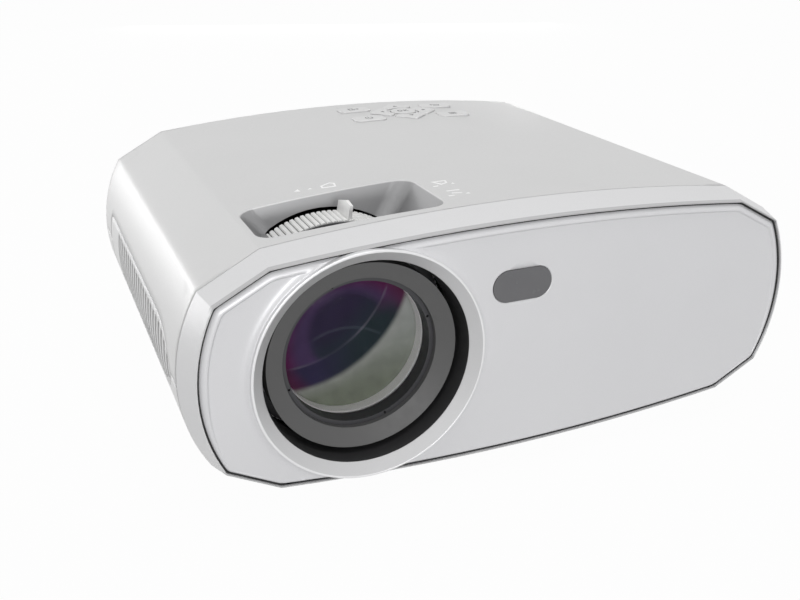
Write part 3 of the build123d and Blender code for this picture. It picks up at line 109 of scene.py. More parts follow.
class Surface:
    """A principled material with helpers for its procedural detail."""

    def __init__(self, name, roughness, metallic=0.0, **inputs):
        self.material = bpy.data.materials.new(name)
        self.material.use_nodes = True
        self.tree = self.material.node_tree
        self.shader = self.tree.nodes["Principled BSDF"]
        self.shader.inputs["Metallic"].default_value = metallic
        self.shader.inputs["Roughness"].default_value = roughness
        for label, value in inputs.items():
            self.shader.inputs[label.replace("_", " ")].default_value = value
        self.place = self.node("ShaderNodeTexCoord").outputs["Object"]
        self.normal = None

    def node(self, kind, **settings):
        """A new node with its settings."""
        made = self.tree.nodes.new(kind)
        for label, value in settings.items():
            setattr(made, label, value)
        return made

    def join(self, source, target):
        """Link an output to an input."""
        self.tree.links.new(source, target)

    def feed(self, target, source):
        """Give an input a plain value, or link it to an output."""
        if isinstance(source, (tuple, float, int)):
            target.default_value = source
        else:
            self.join(source, target)

    def axes(self):
        """X, Y and Z of the place as three outputs."""
        split = self.node("ShaderNodeSeparateXYZ")
        self.join(self.place, split.inputs[0])
        return split.outputs

    def noise(self, size, detail=3.0, stretch=None):
        """Noise whose features are about size metres across."""
        made = self.node("ShaderNodeTexNoise")
        made.inputs["Scale"].default_value = 1 / size
        made.inputs["Detail"].default_value = detail
        place = self.place
        if stretch:
            mapping = self.node("ShaderNodeMapping")
            mapping.inputs["Scale"].default_value = stretch
            self.join(place, mapping.inputs["Vector"])
            place = mapping.outputs["Vector"]
        self.join(place, made.inputs["Vector"])
        return made.outputs["Fac"]

    def mapped(self, source, near, far, low, high, **settings):
        """The source between near and far, mapped to low and high."""
        made = self.node("ShaderNodeMapRange", **settings)
        for label, value in (("From Min", near), ("From Max", far), ("To Min", low), ("To Max", high)):
            made.inputs[label].default_value = value
        self.join(source, made.inputs["Value"])
        return made.outputs["Result"]

    def spread(self, source, low, high):
        """The source's middle range mapped to low and high."""
        return self.mapped(source, 0.3, 0.7, low, high)

    def step(self, source, near, far):
        """0 at near and 1 at far, smooth between."""
        return self.mapped(source, near, far, 0.0, 1.0, interpolation_type="SMOOTHSTEP")

    def ramp(self, source, *stops):
        """Colours at positions along the source."""
        made = self.node("ShaderNodeValToRGB")
        elements = made.color_ramp.elements
        while len(elements) < len(stops):
            elements.new(0.5)
        for element, (position, colour) in zip(elements, stops):
            element.position = position
            element.color = colour
        self.join(source, made.inputs["Fac"])
        return made.outputs["Color"]

    def mix(self, share, first, second, blend="MIX"):
        """Two colours mixed; each may be an output or a colour."""
        made = self.node("ShaderNodeMix", data_type="RGBA", blend_type=blend)
        for number, source in ((0, share), (6, first), (7, second)):
            self.feed(made.inputs[number], source)
        return made.outputs[2]

    def clouded(self, colour, source, *stops):
        """The colour times a grey; each stop is a position along the source and its grey."""
        greys = [(position, (grey, grey, grey, 1)) for position, grey in stops]
        return self.mix(1.0, colour, self.ramp(source, *greys), "MULTIPLY")

    def maths(self, operation, *values):
        """One operation on outputs and plain values."""
        made = self.node("ShaderNodeMath", operation=operation)
        for target, source in zip(made.inputs, values):
            self.feed(target, source)
        return made.outputs[0]

    def away(self, source, middle):
        """How far the source is from the middle, to either side."""
        return self.maths("ABSOLUTE", self.maths("SUBTRACT", source, middle))

    def from_axis(self, x=0.0, z=0.0):
        """Distance in mm from a line along y that is x and z mm off the lens axis."""
        place = self.axes()
        across = self.maths("SUBTRACT", place["X"], LENS_X + x * MM)
        up = self.maths("SUBTRACT", place["Z"], AXIS_Z + z * MM)
        squares = self.maths("ADD", self.maths("POWER", across, 2.0), self.maths("POWER", up, 2.0))
        return self.maths("MULTIPLY", self.maths("POWER", squares, 0.5), 1 / MM)

    def within(self, middle, reach, blend):
        """1 within reach of the middle in x and y, and 0 past the blend."""
        place = self.axes()
        shares = []
        for axis, centre, half in zip("XY", middle, reach):
            shares.append(self.step(self.away(place[axis], centre), half + blend, half))
        return self.maths("MULTIPLY", *shares)

    def below_crown(self, middle, reach, blend):
        """1 on the walls of the finger recess under the crowned top, which get painted shade."""
        place = self.axes()
        fall_rate = 0.5 / (bow(TOP_HALF, TOP_CROWN) * MM)
        fall = self.maths("MULTIPLY", self.maths("POWER", place["X"], 2.0), fall_rate)
        crown = self.maths("SUBTRACT", AXIS_Z + (TOP_HEIGHT + TOP_CROWN) * MM, fall)
        past_top = self.maths("SUBTRACT", self.maths("ABSOLUTE", place["X"]), TOP_HALF * MM)
        side = self.maths("MULTIPLY_ADD", past_top, -TOP_FALL, AXIS_Z + TOP_HEIGHT * MM)
        depth = self.maths("SUBTRACT", self.maths("MINIMUM", crown, side), place["Z"])
        return self.maths("MULTIPLY", self.step(depth, *WALL_SHADE_DEPTHS), self.within(middle, reach, blend))

    def colour(self, source):
        """The base colour, from an output."""
        self.join(source, self.shader.inputs["Base Color"])

    def rough(self, source):
        """The roughness, from an output."""
        self.join(source, self.shader.inputs["Roughness"])

    def soften(self, radius, wide=None):
        """Edges that catch the light as if rounded by radius.

        wide gives an axis, two distances along it and the radius past the second.
        """
        made = self.node("ShaderNodeBevel")
        made.samples = 8 if wide else 4
        made.inputs["Radius"].default_value = radius
        if wide:
            axis, near, far, wide_radius = wide
            away = self.maths("ABSOLUTE", self.axes()[axis])
            self.join(self.mapped(away, near, far, radius, wide_radius), made.inputs["Radius"])
        self.normal = made.outputs["Normal"]

    def crisp_near(self, middle, reach, blend):
        """Flat faces keep their own normals within reach of the middle, for crisp edges."""
        own = self.node("ShaderNodeNewGeometry").outputs["True Normal"]
        blended = self.node("ShaderNodeMix", data_type="VECTOR")
        for number, source in ((0, self.within(middle, reach, blend)), (4, self.normal), (5, own)):
            self.join(source, blended.inputs[number])
        unit = self.node("ShaderNodeVectorMath", operation="NORMALIZE")
        self.join(blended.outputs[1], unit.inputs[0])
        self.normal = unit.outputs[0]

    def bump(self, source, depth, strength=1.0):
        """Relief of the source, up to depth metres high."""
        made = self.node("ShaderNodeBump")
        made.inputs["Strength"].default_value = strength
        made.inputs["Distance"].default_value = depth
        self.join(source, made.inputs["Height"])
        if self.normal:
            self.join(self.normal, made.inputs["Normal"])
        self.normal = made.outputs["Normal"]

    def done(self):
        """The finished material."""
        if self.normal:
            self.join(self.normal, self.shader.inputs["Normal"])
        return self.material


def painted(
    name, colour, roughness, metallic, edge=0.35 * MM, wide=None, recess=None, lip_highlight=False, shade_band=False
):
    """Silver paint over moulded plastic: fine flake, faint clouding and a light orange peel.

    wide goes to soften; recess boxes the finger recess, whose walls get painted shade; two flags paint a
    highlight on the trim ring's lip and a band of shade on the bezels.
    """
    made = Surface(name, roughness, metallic, Specular_IOR_Level=0.35)
    flake = made.ramp(
        made.noise(0.22 * MM, 2.0),
        (0.36, scaled(colour, 0.975)),
        (0.5, colour),
        (0.66, scaled(colour, 1.025)),
    )
    paint = made.clouded(flake, made.noise(38 * MM, 2.0), (0.3, 0.985), (0.7, 1))
    if recess:
        # Painted shade: grey on the recess's walls under the crowned top, which are also made more metallic
        wall_shade_mask = made.below_crown(*recess)
        paint = made.mix(wall_shade_mask, paint, srgb(152, 152, 153))
        shaded = made.maths("MULTIPLY_ADD", wall_shade_mask, 0.6 - metallic, metallic)
        made.join(shaded, made.shader.inputs["Metallic"])
    if shade_band:
        # Painted shade: a darker band along the front edge of the bezels, at their top and bottom
        place = made.axes()
        inward = made.step(made.maths("ABSOLUTE", place["Y"]), SHADE_BAND_EDGE - SHADE_BAND_BLEND, SHADE_BAND_EDGE)
        upward = made.step(made.away(place["Z"], AXIS_Z), *SHADE_BAND_HEIGHTS)
        paint = made.mix(made.maths("MULTIPLY", inward, upward), paint, scaled(colour, 0.72))
    if lip_highlight:
        # Painted highlight: the trim ring's outer lip is lighter
        outward = made.step(made.from_axis(), LIP_HIGHLIGHT_RADIUS - LIP_HIGHLIGHT_BLEND, LIP_HIGHLIGHT_RADIUS)
        paint = made.mix(outward, paint, scaled(colour, 1.35))
    made.colour(paint)
    made.rough(made.spread(made.noise(1.6 * MM), roughness - 0.03, roughness + 0.03))
    if edge:
        made.soften(edge, wide)
    if recess:
        made.crisp_near(*recess)
    made.bump(made.noise(0.9 * MM, 1.0), 0.004 * MM, 0.5)
    return made.done()


def moulded(name, colour, roughness=0.5, grain=0.5 * MM, depth=0.01 * MM, edge=0.25 * MM, dust=0.06, **more):
    """Moulded plastic with a spark-eroded grain and a trace of handling."""
    made = Surface(name, roughness, **more)
    tone = made.ramp(
        made.noise(9 * MM, 4.0),
        (0.3, scaled(colour, 1 - dust)),
        (0.55, colour),
        (0.75, scaled(colour, 1 + dust)),
    )
    made.colour(tone)
    made.rough(made.spread(made.noise(3 * MM, 4.0), roughness - 0.06, roughness + 0.06))
    if edge:
        made.soften(edge)
    made.bump(made.noise(grain, 2.0), depth, 0.6)
    return made.done()


def ribbed_white(name):
    """White plastic with painted shade in its grooves and a little dust."""
    made = Surface(name, 0.42)
    # Painted shade: grey in the grooves, white on the ribs
    tone = made.mix(made.step(made.from_axis(), *GROOVE_SHADE_RADII), srgb(96, 96, 98), srgb(252, 252, 251))
    made.colour(made.clouded(tone, made.noise(6 * MM), (0.35, 0.96), (0.7, 1)))
    made.rough(made.spread(made.noise(3 * MM), 0.38, 0.46))
    made.bump(made.noise(0.5 * MM), 0.003 * MM, 0.5)
    return made.done()


def metal(name, colour, roughness, stretch):
    """Bare metal with drawn or turned streaks across the stretched axis."""
    made = Surface(name, roughness, 1.0)
    streaks = made.noise(0.12 * MM, 3.0, stretch)
    made.colour(made.ramp(streaks, (0.3, scaled(colour, 0.86)), (0.6, colour), (0.8, scaled(colour, 1.06))))
    made.rough(made.spread(streaks, roughness - 0.08, roughness + 0.1))
    made.soften(0.15 * MM)
    made.bump(streaks, 0.004 * MM, 0.5)
    return made.done()


# Solids of one node lie further apart in x than SOLID_GAP, and each has more points than SOLID_POINTS
SOLID_GAP = 1.2 * MM
SOLID_POINTS = 40


def solids_across(name):
    """Middle x, middle z and half width of the solids of a node that stand side by side."""
    points = sorted((vert.co.x, vert.co.z) for vert in nodes[name].data.vertices)
    groups = [[points[0]]]
    for before, point in zip(points, points[1:]):
        if point[0] - before[0] > SOLID_GAP and len(groups[-1]) > SOLID_POINTS:
            groups.append([])
        groups[-1].append(point)
    boxes = []
    for group in groups:
        (left, right), (low, high) = ((min(values), max(values)) for values in zip(*group))
        boxes.append(((left + right) / 2, (low + high) / 2, (right - left) / 2))
    return boxes


def socket_metal(name, places, plastic):
    """Plated sockets whose plastic lies within boxes of (x, z, half width, half height) in metres."""
    made = Surface(name, 0.3, 1.0)
    place = made.axes()
    blend = 0.05 * MM
    share = 0.0
    for x, z, half_width, half_height in places:
        across = made.step(made.away(place["X"], x), half_width + blend, half_width)
        up = made.step(made.away(place["Z"], z), half_height + blend, half_height)
        share = made.maths("MAXIMUM", share, made.maths("MULTIPLY", across, up))
    streaks = made.noise(0.4 * MM, 3.0, (1, 6, 1))
    plating = made.ramp(streaks, (0.3, srgb(172, 173, 174)), (0.7, srgb(190, 191, 192)))
    made.colour(made.mix(share, plating, plastic))
    made.join(made.maths("SUBTRACT", 1.0, share), made.shader.inputs["Metallic"])
    made.rough(made.spread(streaks, 0.26, 0.36))
    return made.done()


def board_green(name):
    """Solder mask over a grid of copper tracks."""
    made = Surface(name, 0.35)
    tracks = made.node("ShaderNodeTexBrick")
    tracks.inputs["Scale"].default_value = 180
    tracks.inputs["Color1"].default_value = srgb(20, 92, 52)
    tracks.inputs["Color2"].default_value = srgb(26, 104, 60)
    tracks.inputs["Mortar"].default_value = srgb(60, 130, 70)
    tracks.inputs["Mortar Size"].default_value = 0.06
    made.join(made.place, tracks.inputs["Vector"])
    made.colour(tracks.outputs["Color"])
    made.bump(tracks.outputs["Fac"], 0.03 * MM)
    return made.done()


def clear_glass(name, tint, roughness, alpha, **more):
    """Thin clear glass, seen mostly by its reflections, with a faint haze."""
    made = Surface(name, roughness, 0.0, IOR=1.5, **more)
    made.colour(made.ramp(made.noise(5 * MM, 2.0), (0.3, scaled(tint, 0.9)), (0.75, scaled(tint, 1.2))))
    made.rough(made.spread(made.noise(6 * MM), roughness, roughness + 0.04))
    made.shader.inputs["Alpha"].default_value = alpha
    return made.done()


# Circles of the painted reflections and the rim's painted shadow on the coated glass: x and z of the middle
# from the lens axis and the radius, in mm
RIM_SHADOW = (-22.8, 31.9, 52.3)
INNER_ARC = (-25.1, 35.9, 45.7)
DARK_REFLECTION = (0.3, 3.6, 17.8)
ECHO_REFLECTION = (-2.0, -26.0, 31.0)


def coated_glass(name):
    """Coated inner glass with painted reflections: violet and navy behind a painted shadow of the rim, pale
    green beyond it.
    """
    made = Surface(name, 0.06, 0.0, Specular_IOR_Level=0.04, IOR=1.5)
    place = made.axes()

    def outside(x, z, radius):
        """Distance in mm outside a circle centred x and z mm from the lens axis."""
        return made.maths("SUBTRACT", made.from_axis(x, z), radius)

    def change(source, near, far, first, second):
        """The first colour where the source is at near, the second where it is at far."""
        return made.mix(made.step(source, near, far), first, second)

    def line(source, width):
        """1 along a thin line where the source is 0, and 0 away from it."""
        return made.maths("SUBTRACT", 1.0, made.step(made.maths("ABSOLUTE", source), 0.3 * width, width))

    # Coating tints laid out as painted reflections, with a painted shadow of the rim, as colours by place
    rim_shadow, inner_arc, dark_reflection = (outside(*circle) for circle in (RIM_SHADOW, INNER_ARC, DARK_REFLECTION))
    from_middle = made.from_axis()
    violet = change(from_middle, 22.0, 31.0, srgb(66, 50, 82), srgb(84, 24, 66))
    navy = change(inner_arc, -14.0, 2.0, srgb(42, 36, 58), srgb(34, 44, 52))
    dark = change(dark_reflection, -2.5, 3.0, navy, violet)
    lower = change(place["X"], LENS_X - 18 * MM, LENS_X + 8 * MM, srgb(44, 40, 66), srgb(32, 46, 48))
    lower = change(place["Z"], AXIS_Z + 6 * MM, AXIS_Z + 25 * MM, lower, srgb(86, 46, 88))
    lower = change(from_middle, 24.0, 32.0, lower, srgb(78, 34, 62))
    dark = change(inner_arc, -1.5, 1.5, dark, lower)
    pale = change(place["Z"], AXIS_Z - 30 * MM, AXIS_Z + 16 * MM, srgb(112, 118, 104), srgb(158, 162, 158))
    pale = change(rim_shadow, 0.5, 7.0, made.mix(0.5, pale, srgb(150, 152, 148)), pale)
    whole = change(rim_shadow, -1.6, 1.8, dark, pale)
    # Painted reflections: a fading light line along the inner arc, and a faint echo arc in the dark
    # reflection
    fading = made.spread(made.noise(16 * MM, 1.0), 0.1, 0.5)
    fading = made.maths("MULTIPLY", fading, made.step(from_middle, 31.0, 25.0))
    whole = made.mix(made.maths("MULTIPLY", line(inner_arc, 0.9), fading), whole, srgb(106, 102, 114))
    echo_reflection = made.maths("MULTIPLY", line(outside(*ECHO_REFLECTION), 1.1), 0.12)
    echo_reflection = made.maths("MULTIPLY", echo_reflection, made.step(dark_reflection, 0.0, -4.0))
    whole = made.mix(echo_reflection, whole, srgb(110, 120, 130))
    made.colour(made.clouded(whole, made.noise(7 * MM, 2.0), (0.35, 0.9), (0.7, 1.08)))
    made.rough(made.spread(made.noise(4 * MM), 0.04, 0.1))
    return made.done()


def finish_piece(name, mesh, material, body, smooth_degrees=None):
    """Link a mesh as a piece with one material that rides on a body."""
    piece = bpy.data.objects.new(name, mesh)
    bpy.context.scene.collection.objects.link(piece)
    mesh.materials.append(material)
    if smooth_degrees is not None:
        mesh.polygons.foreach_set("use_smooth", [True] * len(mesh.polygons))
        mesh.set_sharp_from_angle(angle=math.radians(smooth_degrees))
    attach(piece, body)
    return piece


def mesh_from(name, made):
    """Mesh of what was made, with its faces turned outwards."""
    bmesh.ops.recalc_face_normals(made, faces=made.faces)
    mesh = bpy.data.meshes.new(name)
    made.to_mesh(mesh)
    made.free()
    return mesh


def close_round(made, rows, closed=True):
    """Faces between rows of corners that follow one another round a section."""
    count = len(rows[0])
    for first, second in zip(rows, rows[1:] + rows[:1]):
        for number in range(count if closed else count - 1):
            after = (number + 1) % count
            made.faces.new([first[number], first[after], second[after], second[number]])


LATHE_SEGMENTS = 192
LATHE_SMOOTH = 30


def lathe(name, profile, material, body):
    """Closed ring or disc about the lens axis; profile holds (radius, depth from the front) in mm."""
    rings = bmesh.new()
    columns = []
    for number in range(LATHE_SEGMENTS):
        angle = 2 * math.pi * number / LATHE_SEGMENTS
        column = []
        for radius, depth in profile:
            x = LENS_X + radius * MM * math.cos(angle)
            z = AXIS_Z + radius * MM * math.sin(angle)
            column.append(rings.verts.new((x, FRONT + depth * MM, z)) if radius > 0 else None)
        columns.append(column)
    poles = []
    for radius, depth in profile:
        poles.append(None if radius > 0 else rings.verts.new((LENS_X, FRONT + depth * MM, AXIS_Z)))
    for here, there in zip(columns, columns[1:] + columns[:1]):
        for first in range(len(profile)):
            second = (first + 1) % len(profile)
            corners = []
            for column, index in ((here, first), (here, second), (there, second), (there, first)):
                corner = column[index] or poles[index]
                if corner not in corners:
                    corners.append(corner)
            if len(corners) > 2:
                rings.faces.new(corners)
    return finish_piece(name, mesh_from(name, rings), material, body, LATHE_SMOOTH)


# Outline of the panels in mm from the body's axis: an octagon whose long sides bulge
FACE_SIDE = 135.1
FACE_SIDE_HEIGHT = 36.1
FACE_BULGE = 8.8
FACE_TOP = 113.0
FACE_TOP_HEIGHT = 47.9
FACE_CROWN = 5.7
PANEL_INSET = 0.45
CORNER_ROUND = 1.0

# Points on a quarter of the outline: along its top, corner and side, and more beside each corner
TOP_POINTS = 90
CORNER_POINTS = 26
SIDE_POINTS = 36
BESIDE_CORNER = np.linspace(-2.4, 2.4, 13)
BESIDE_SLOPE = 0.5
OUTLINE_ASPECT = 2.2
CONTOUR_ROUNDS = 6


def soft_least(first, second, blend):
    """The smaller of two values, rounded where they are alike."""
    share = np.clip(0.5 + 0.5 * (second - first) / blend, 0, 1)
    return second * (1 - share) + first * share - blend * share * (1 - share)


def ease(value, low, high):
    """0 at low and 1 at high, smooth between."""
    share = np.clip((value - low) / (high - low), 0, 1)
    return share * share * (3 - 2 * share)


def slope(field, x, z):
    """Gradient of a field over the panel."""
    step = 0.01
    return (
        (field(x + step, z) - field(x - step, z)) / (2 * step),
        (field(x, z + step) - field(x, z - step)) / (2 * step),
    )


def face_distance(x, z):
    """Distance in mm inside the panel's edge, negative outside it."""
    across, up = np.abs(x), np.abs(z)
    top_radius = bow(FACE_TOP, FACE_CROWN)
    side_radius = bow(FACE_SIDE_HEIGHT, FACE_BULGE)
    from_top = top_radius - np.hypot(across, up - (FACE_TOP_HEIGHT + FACE_CROWN - top_radius))
    reach = np.maximum(across - (FACE_SIDE + FACE_BULGE - side_radius), 0)
    from_side = side_radius - np.hypot(reach, up)
    run, drop = FACE_SIDE - FACE_TOP, FACE_TOP_HEIGHT - FACE_SIDE_HEIGHT
    from_corner = ((FACE_SIDE - across) * drop + (FACE_SIDE_HEIGHT - up) * run) / math.hypot(run, drop)
    nearest = soft_least(soft_least(from_top, from_corner, CORNER_ROUND), from_side, CORNER_ROUND)
    return nearest - PANEL_INSET


def contour(distance):
    """Closed line of points at one distance in mm inside the panel's edge."""
    corners = ((FACE_TOP, FACE_TOP_HEIGHT), (FACE_SIDE, FACE_SIDE_HEIGHT))
    (x0, z0), (x1, z1) = corners
    quarter = []
    for number in range(TOP_POINTS):
        along = number / TOP_POINTS
        quarter.append((FACE_TOP * along, FACE_TOP_HEIGHT + FACE_CROWN * (1 - along**2)))
    for number in range(CORNER_POINTS):
        along = number / CORNER_POINTS
        quarter.append((x0 + (x1 - x0) * along, z0 + (z1 - z0) * along))
    for number in range(SIDE_POINTS + 1):
        height = FACE_SIDE_HEIGHT * (1 - number / SIDE_POINTS)
        quarter.append((FACE_SIDE + FACE_BULGE * (1 - (height / FACE_SIDE_HEIGHT) ** 2), height))
    for x, z in corners:
        quarter += [(x + beside, z - beside * BESIDE_SLOPE) for beside in BESIDE_CORNER]
    quarter.sort(key=lambda point: math.atan2(point[0], point[1] * OUTLINE_ASPECT))
    half = quarter + [(x, -z) for x, z in reversed(quarter[:-1])]
    points = np.array(half + [(-x, z) for x, z in reversed(half[1:-1])])
    for _ in range(CONTOUR_ROUNDS):
        miss = face_distance(*points.T) - distance
        steps = slope(face_distance, *points.T)
        size = np.maximum(np.hypot(*steps), 0.5) ** 2
        points = points - np.stack([miss * steps[0] / size, miss * steps[1] / size], axis=1)
    return points


# Face of the front panel in mm: a crowned rim round a sunk face, and a cove that rises to the trim ring
RECESS = 1.0
RIM_CROWN = 2.7
RIM_SHOULDER = 0.2
RIM_END = 3.9
RIM_ROLL = 1.5
RIM_LEAST = 0.2
RIM_HEIGHTS = (-46, 6)
COVE_WIDTH = 4.2
COVE_RISE = 1.7
COVE_POWER = 2.2
COVE_INSIDE = (0.1, 0.9)
COVE_BLEND = 0.7
HOLE_RADIUS = 48.6
LENS_ACROSS = LENS_X / MM

# Slot of the infrared window in mm: middle, radius of its ends, half of its straight stretch, gap and lip
window_low, window_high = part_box("front_ir_window")
WINDOW_X = (window_low.x + window_high.x) / 2 / MM
WINDOW_Z = (window_low.z + window_high.z) / 2 / MM - AXIS_Z / MM
WINDOW_RADIUS = (window_high.z - window_low.z) / 2 / MM
WINDOW_STRAIGHT = (window_high.x - window_low.x) / 2 / MM - WINDOW_RADIUS
WINDOW_GAP = 0.15
WINDOW_LIP_DEPTH = 0.3
WINDOW_LIP_WIDTH = 0.5

# Lines of points over the panel's face in mm, from its edge, the trim ring and the window's slot
RIM_LINES = (0.2, 0.45, 0.8, 1.2, 1.6, 2.0, 2.4, 2.8, 3.2, 3.6, 4.0, 4.5, 5.2)
COVE_LINES = (-1.6, -0.9, -0.5, -0.1, 0.4, 0.9, 1.5, 2.2, 3.0, 3.9, 4.8, 5.8, 7.0)
WINDOW_LINES = (0.12, 0.25, 0.5, 0.9)
CIRCLE_POINTS = 300
WINDOW_TURN_POINTS = 36

# Rasters of points in mm: a coarse one on the flat face, a fine one where rim and cove meet
COARSE = (-144, 145, 5.0)
FINE = (-135, -10, 0.7)
RASTER_HEIGHTS = (-54, 55)
RIM_ZONE = 6
COVE_ZONE = 8
WINDOW_ZONE = 1.5


def from_lens(x, z):
    """Distance in mm from the lens axis."""
    return np.hypot(x - LENS_ACROSS, z)


def from_window(x, z):
    """Distance in mm outside the infrared window's slot."""
    along = np.maximum(np.abs(x - WINDOW_X) - WINDOW_STRAIGHT, 0)
    return np.hypot(along, z - WINDOW_Z) - WINDOW_RADIUS - WINDOW_GAP


def panel_height(x, z):
    """Height in mm of the front panel before the plane of its rim's top."""
    inside = face_distance(x, z)
    fullness = RIM_LEAST + (1 - RIM_LEAST) * ease(z, *RIM_HEIGHTS)
    rolled = RIM_ROLL * fullness * np.clip(1 - inside / (RIM_CROWN * fullness), 0, 1) ** 2
    sinking = ease(inside, (RIM_CROWN + RIM_SHOULDER) * fullness, RIM_END * fullness)
    rim = -RECESS + RECESS * fullness * (1 - sinking) - rolled
    away = from_lens(x, z) - RING_RADIUS
    cove = -RECESS + COVE_RISE * np.clip(1 - away / COVE_WIDTH, 0, 1) ** COVE_POWER
    cove = np.where(away < 0, cove - (cove + RECESS) * ease(-away, *COVE_INSIDE), cove) - rolled
    height = -soft_least(-rim, -cove, COVE_BLEND)
    return height - WINDOW_LIP_DEPTH * np.clip(1 - from_window(x, z) / WINDOW_LIP_WIDTH, 0, 1) ** 2


def lens_line(radius):
    """Points round the lens axis."""
    turn = np.linspace(0, 2 * math.pi, CIRCLE_POINTS, endpoint=False)
    return np.stack([LENS_ACROSS + radius * np.cos(turn), radius * np.sin(turn)], axis=1)


def window_line(grow):
    """Points round the infrared window's slot, grow mm outside it."""
    radius = WINDOW_RADIUS + WINDOW_GAP + grow
    points = []
    for side in (1, -1):
        for number in range(WINDOW_TURN_POINTS + 1):
            angle = math.pi * (number / WINDOW_TURN_POINTS - 0.5)
            at_x = WINDOW_X + side * (WINDOW_STRAIGHT + radius * math.cos(angle))
            points.append((at_x, WINDOW_Z + side * radius * math.sin(angle)))
    return np.array(points)


def raster(left, right, spacing):
    """Even points from left to right over the panel's height."""
    across, up = np.meshgrid(np.arange(left, right, spacing), np.arange(*RASTER_HEIGHTS, spacing))
    return np.stack([across, up], axis=-1).reshape(-1, 2)


def face_points():
    """Points over the panel's face, clear of its edges and holes."""
    lines = [contour(distance) for distance in RIM_LINES]
    lines += [lens_line(RING_RADIUS + away) for away in COVE_LINES]
    lines += [window_line(grow) for grow in WINDOW_LINES]
    coarse = raster(*COARSE)
    keep = (face_distance(*coarse.T) > RIM_ZONE) & (from_lens(*coarse.T) > RING_RADIUS + COVE_ZONE)
    coarse = coarse[keep & (from_window(*coarse.T) > WINDOW_ZONE)]
    fine = raster(*FINE)
    inside = face_distance(*fine.T)
    away = from_lens(*fine.T) - RING_RADIUS
    fine = fine[(inside > 0.3) & (inside < RIM_ZONE) & (away > -0.5) & (away < COVE_ZONE)]
    points = np.concatenate([*lines, coarse, fine])
    keep = (face_distance(*points.T) > 0.1) & (from_lens(*points.T) > HOLE_RADIUS + 0.3)
    return points[keep & (from_window(*points.T) > 0.05)]


def flat_panel():
    """Corners in mm and triangles of the panel's front, with its two holes."""
    loops = [contour(0.0), lens_line(HOLE_RADIUS), window_line(0.0)]
    edges = []
    start = 0
    for loop in loops:
        count = len(loop)
        edges += [(start + number, start + (number + 1) % count) for number in range(count)]
        start += count
    points = [Vector(point) for point in np.concatenate([*loops, face_points()]).tolist()]
    coords, _, faces, _, _, _ = delaunay_2d_cdt(points, edges, [], 0, 1e-4)
    flat = np.array([tuple(point) for point in coords])
    faces = np.array(faces)
    middle = flat[faces].mean(axis=1).T
    keep = (face_distance(*middle) > -0.02) & (from_window(*middle) > 0)
    return flat, faces[keep & (from_lens(*middle) > HOLE_RADIUS - 0.01)]


def front_normals(mesh, front_count):
    """Give the panel's first faces, which are its front, the normals of panel_height."""
    mesh.polygons.foreach_set("use_smooth", [number < front_count for number in range(len(mesh.polygons))])
    across = np.array([vert.co.x / MM for vert in mesh.vertices])
    up = np.array([(vert.co.z - AXIS_Z) / MM for vert in mesh.vertices])
    rise_x, rise_z = slope(panel_height, across, up)
    normals = []
    for polygon in mesh.polygons:
        for index in polygon.vertices:
            if polygon.index < front_count:
                normals.append(Vector((-rise_x[index], -1, -rise_z[index])).normalized())
            else:
                normals.append(polygon.normal)
    mesh.normals_split_custom_set(normals)


def panel_mesh(name):
    """Front panel as a closed plate whose face follows panel_height."""
    flat, faces = flat_panel()
    made = bmesh.new()
    places = zip(flat, panel_height(*flat.T))
    corners = [made.verts.new((x * MM, FRONT - height * MM, AXIS_Z + z * MM)) for (x, z), height in places]
    for face in faces:
        made.faces.new([corners[index] for index in face])
    made.normal_update()
    if sum(face.normal.y for face in made.faces) > 0:
        bmesh.ops.reverse_faces(made, faces=made.faces)
    fronts = list(made.faces)
    rim_edges = [edge for edge in made.edges if len(edge.link_faces) == 1]
    back_verts = {}

    def behind(vert):
        """The corner of the panel's back behind one of its face."""
        if vert not in back_verts:
            back_verts[vert] = made.verts.new((vert.co.x, FRONT + PANEL_THICKNESS * MM, vert.co.z))
        return back_verts[vert]

    for edge in rim_edges:
        loop = edge.link_loops[0]
        first, second = loop.vert, loop.link_loop_next.vert
        made.faces.new([second, first, behind(first), behind(second)])
        edge.smooth = False
    for face in fronts:
        made.faces.new([behind(vert) for vert in reversed(face.verts)])
    for vert in [vert for vert in made.verts if not vert.link_faces]:
        made.verts.remove(vert)
    made.verts.index_update()
    mesh = bpy.data.meshes.new(name)
    made.to_mesh(mesh)
    made.free()
    front_normals(mesh, len(fronts))
    return mesh


# Section of the seal strips, which also stand in for the shade in the gaps, in mm: distance outside the
# panel's edge and depth behind its face
SEAL_AND_SHADE_SECTION = ((0.03, 1.1), (0.87, 1.1), (0.87, 2.2), (0.03, 2.2))


def seal_and_shade_mesh(name, plane, inward):
    """Dark strip that fills the gap round a panel, set back from its face, as a seal and as painted shade in
    the gap.
    """
    made = bmesh.new()
    rows = []
    for outside, depth in SEAL_AND_SHADE_SECTION:
        y = plane + inward * depth * MM
        rows.append([made.verts.new((x * MM, y, AXIS_Z + z * MM)) for x, z in contour(-outside)])
    close_round(made, rows)
    return mesh_from(name, made)


# Printed marks are thin plates of ink, in mm: half thickness, widths of lines, blunt tips, least mitre
INK = 0.05
STROKE = 0.85
KEY_STROKE = 0.6
FILM_TIP = 0.02
LEAST_MITRE = 0.25


def shell_surface(x, y):
    """Height in metres of the shell's crowned top at x in mm, the same at every y."""
    radius = bow(TOP_HALF, TOP_CROWN)
    return AXIS_Z + (TOP_HEIGHT + TOP_CROWN - radius + math.sqrt(radius**2 - x**2)) * MM


def key_surface(name):
    """Function for the height in metres of a key's cap, which is found from above."""
    mesh = nodes[name].data
    corners = [vert.co for vert in mesh.vertices]
    tree = BVHTree.FromPolygons(corners, [list(face.vertices) for face in mesh.polygons])

    def height(x, y):
        """Height where a ray from above meets the cap."""
        above = Vector((x * MM, FRONT + y * MM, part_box(name)[1].z + MM))
        return tree.ray_cast(above, Vector((0, 0, -1)))[0].z

    return height


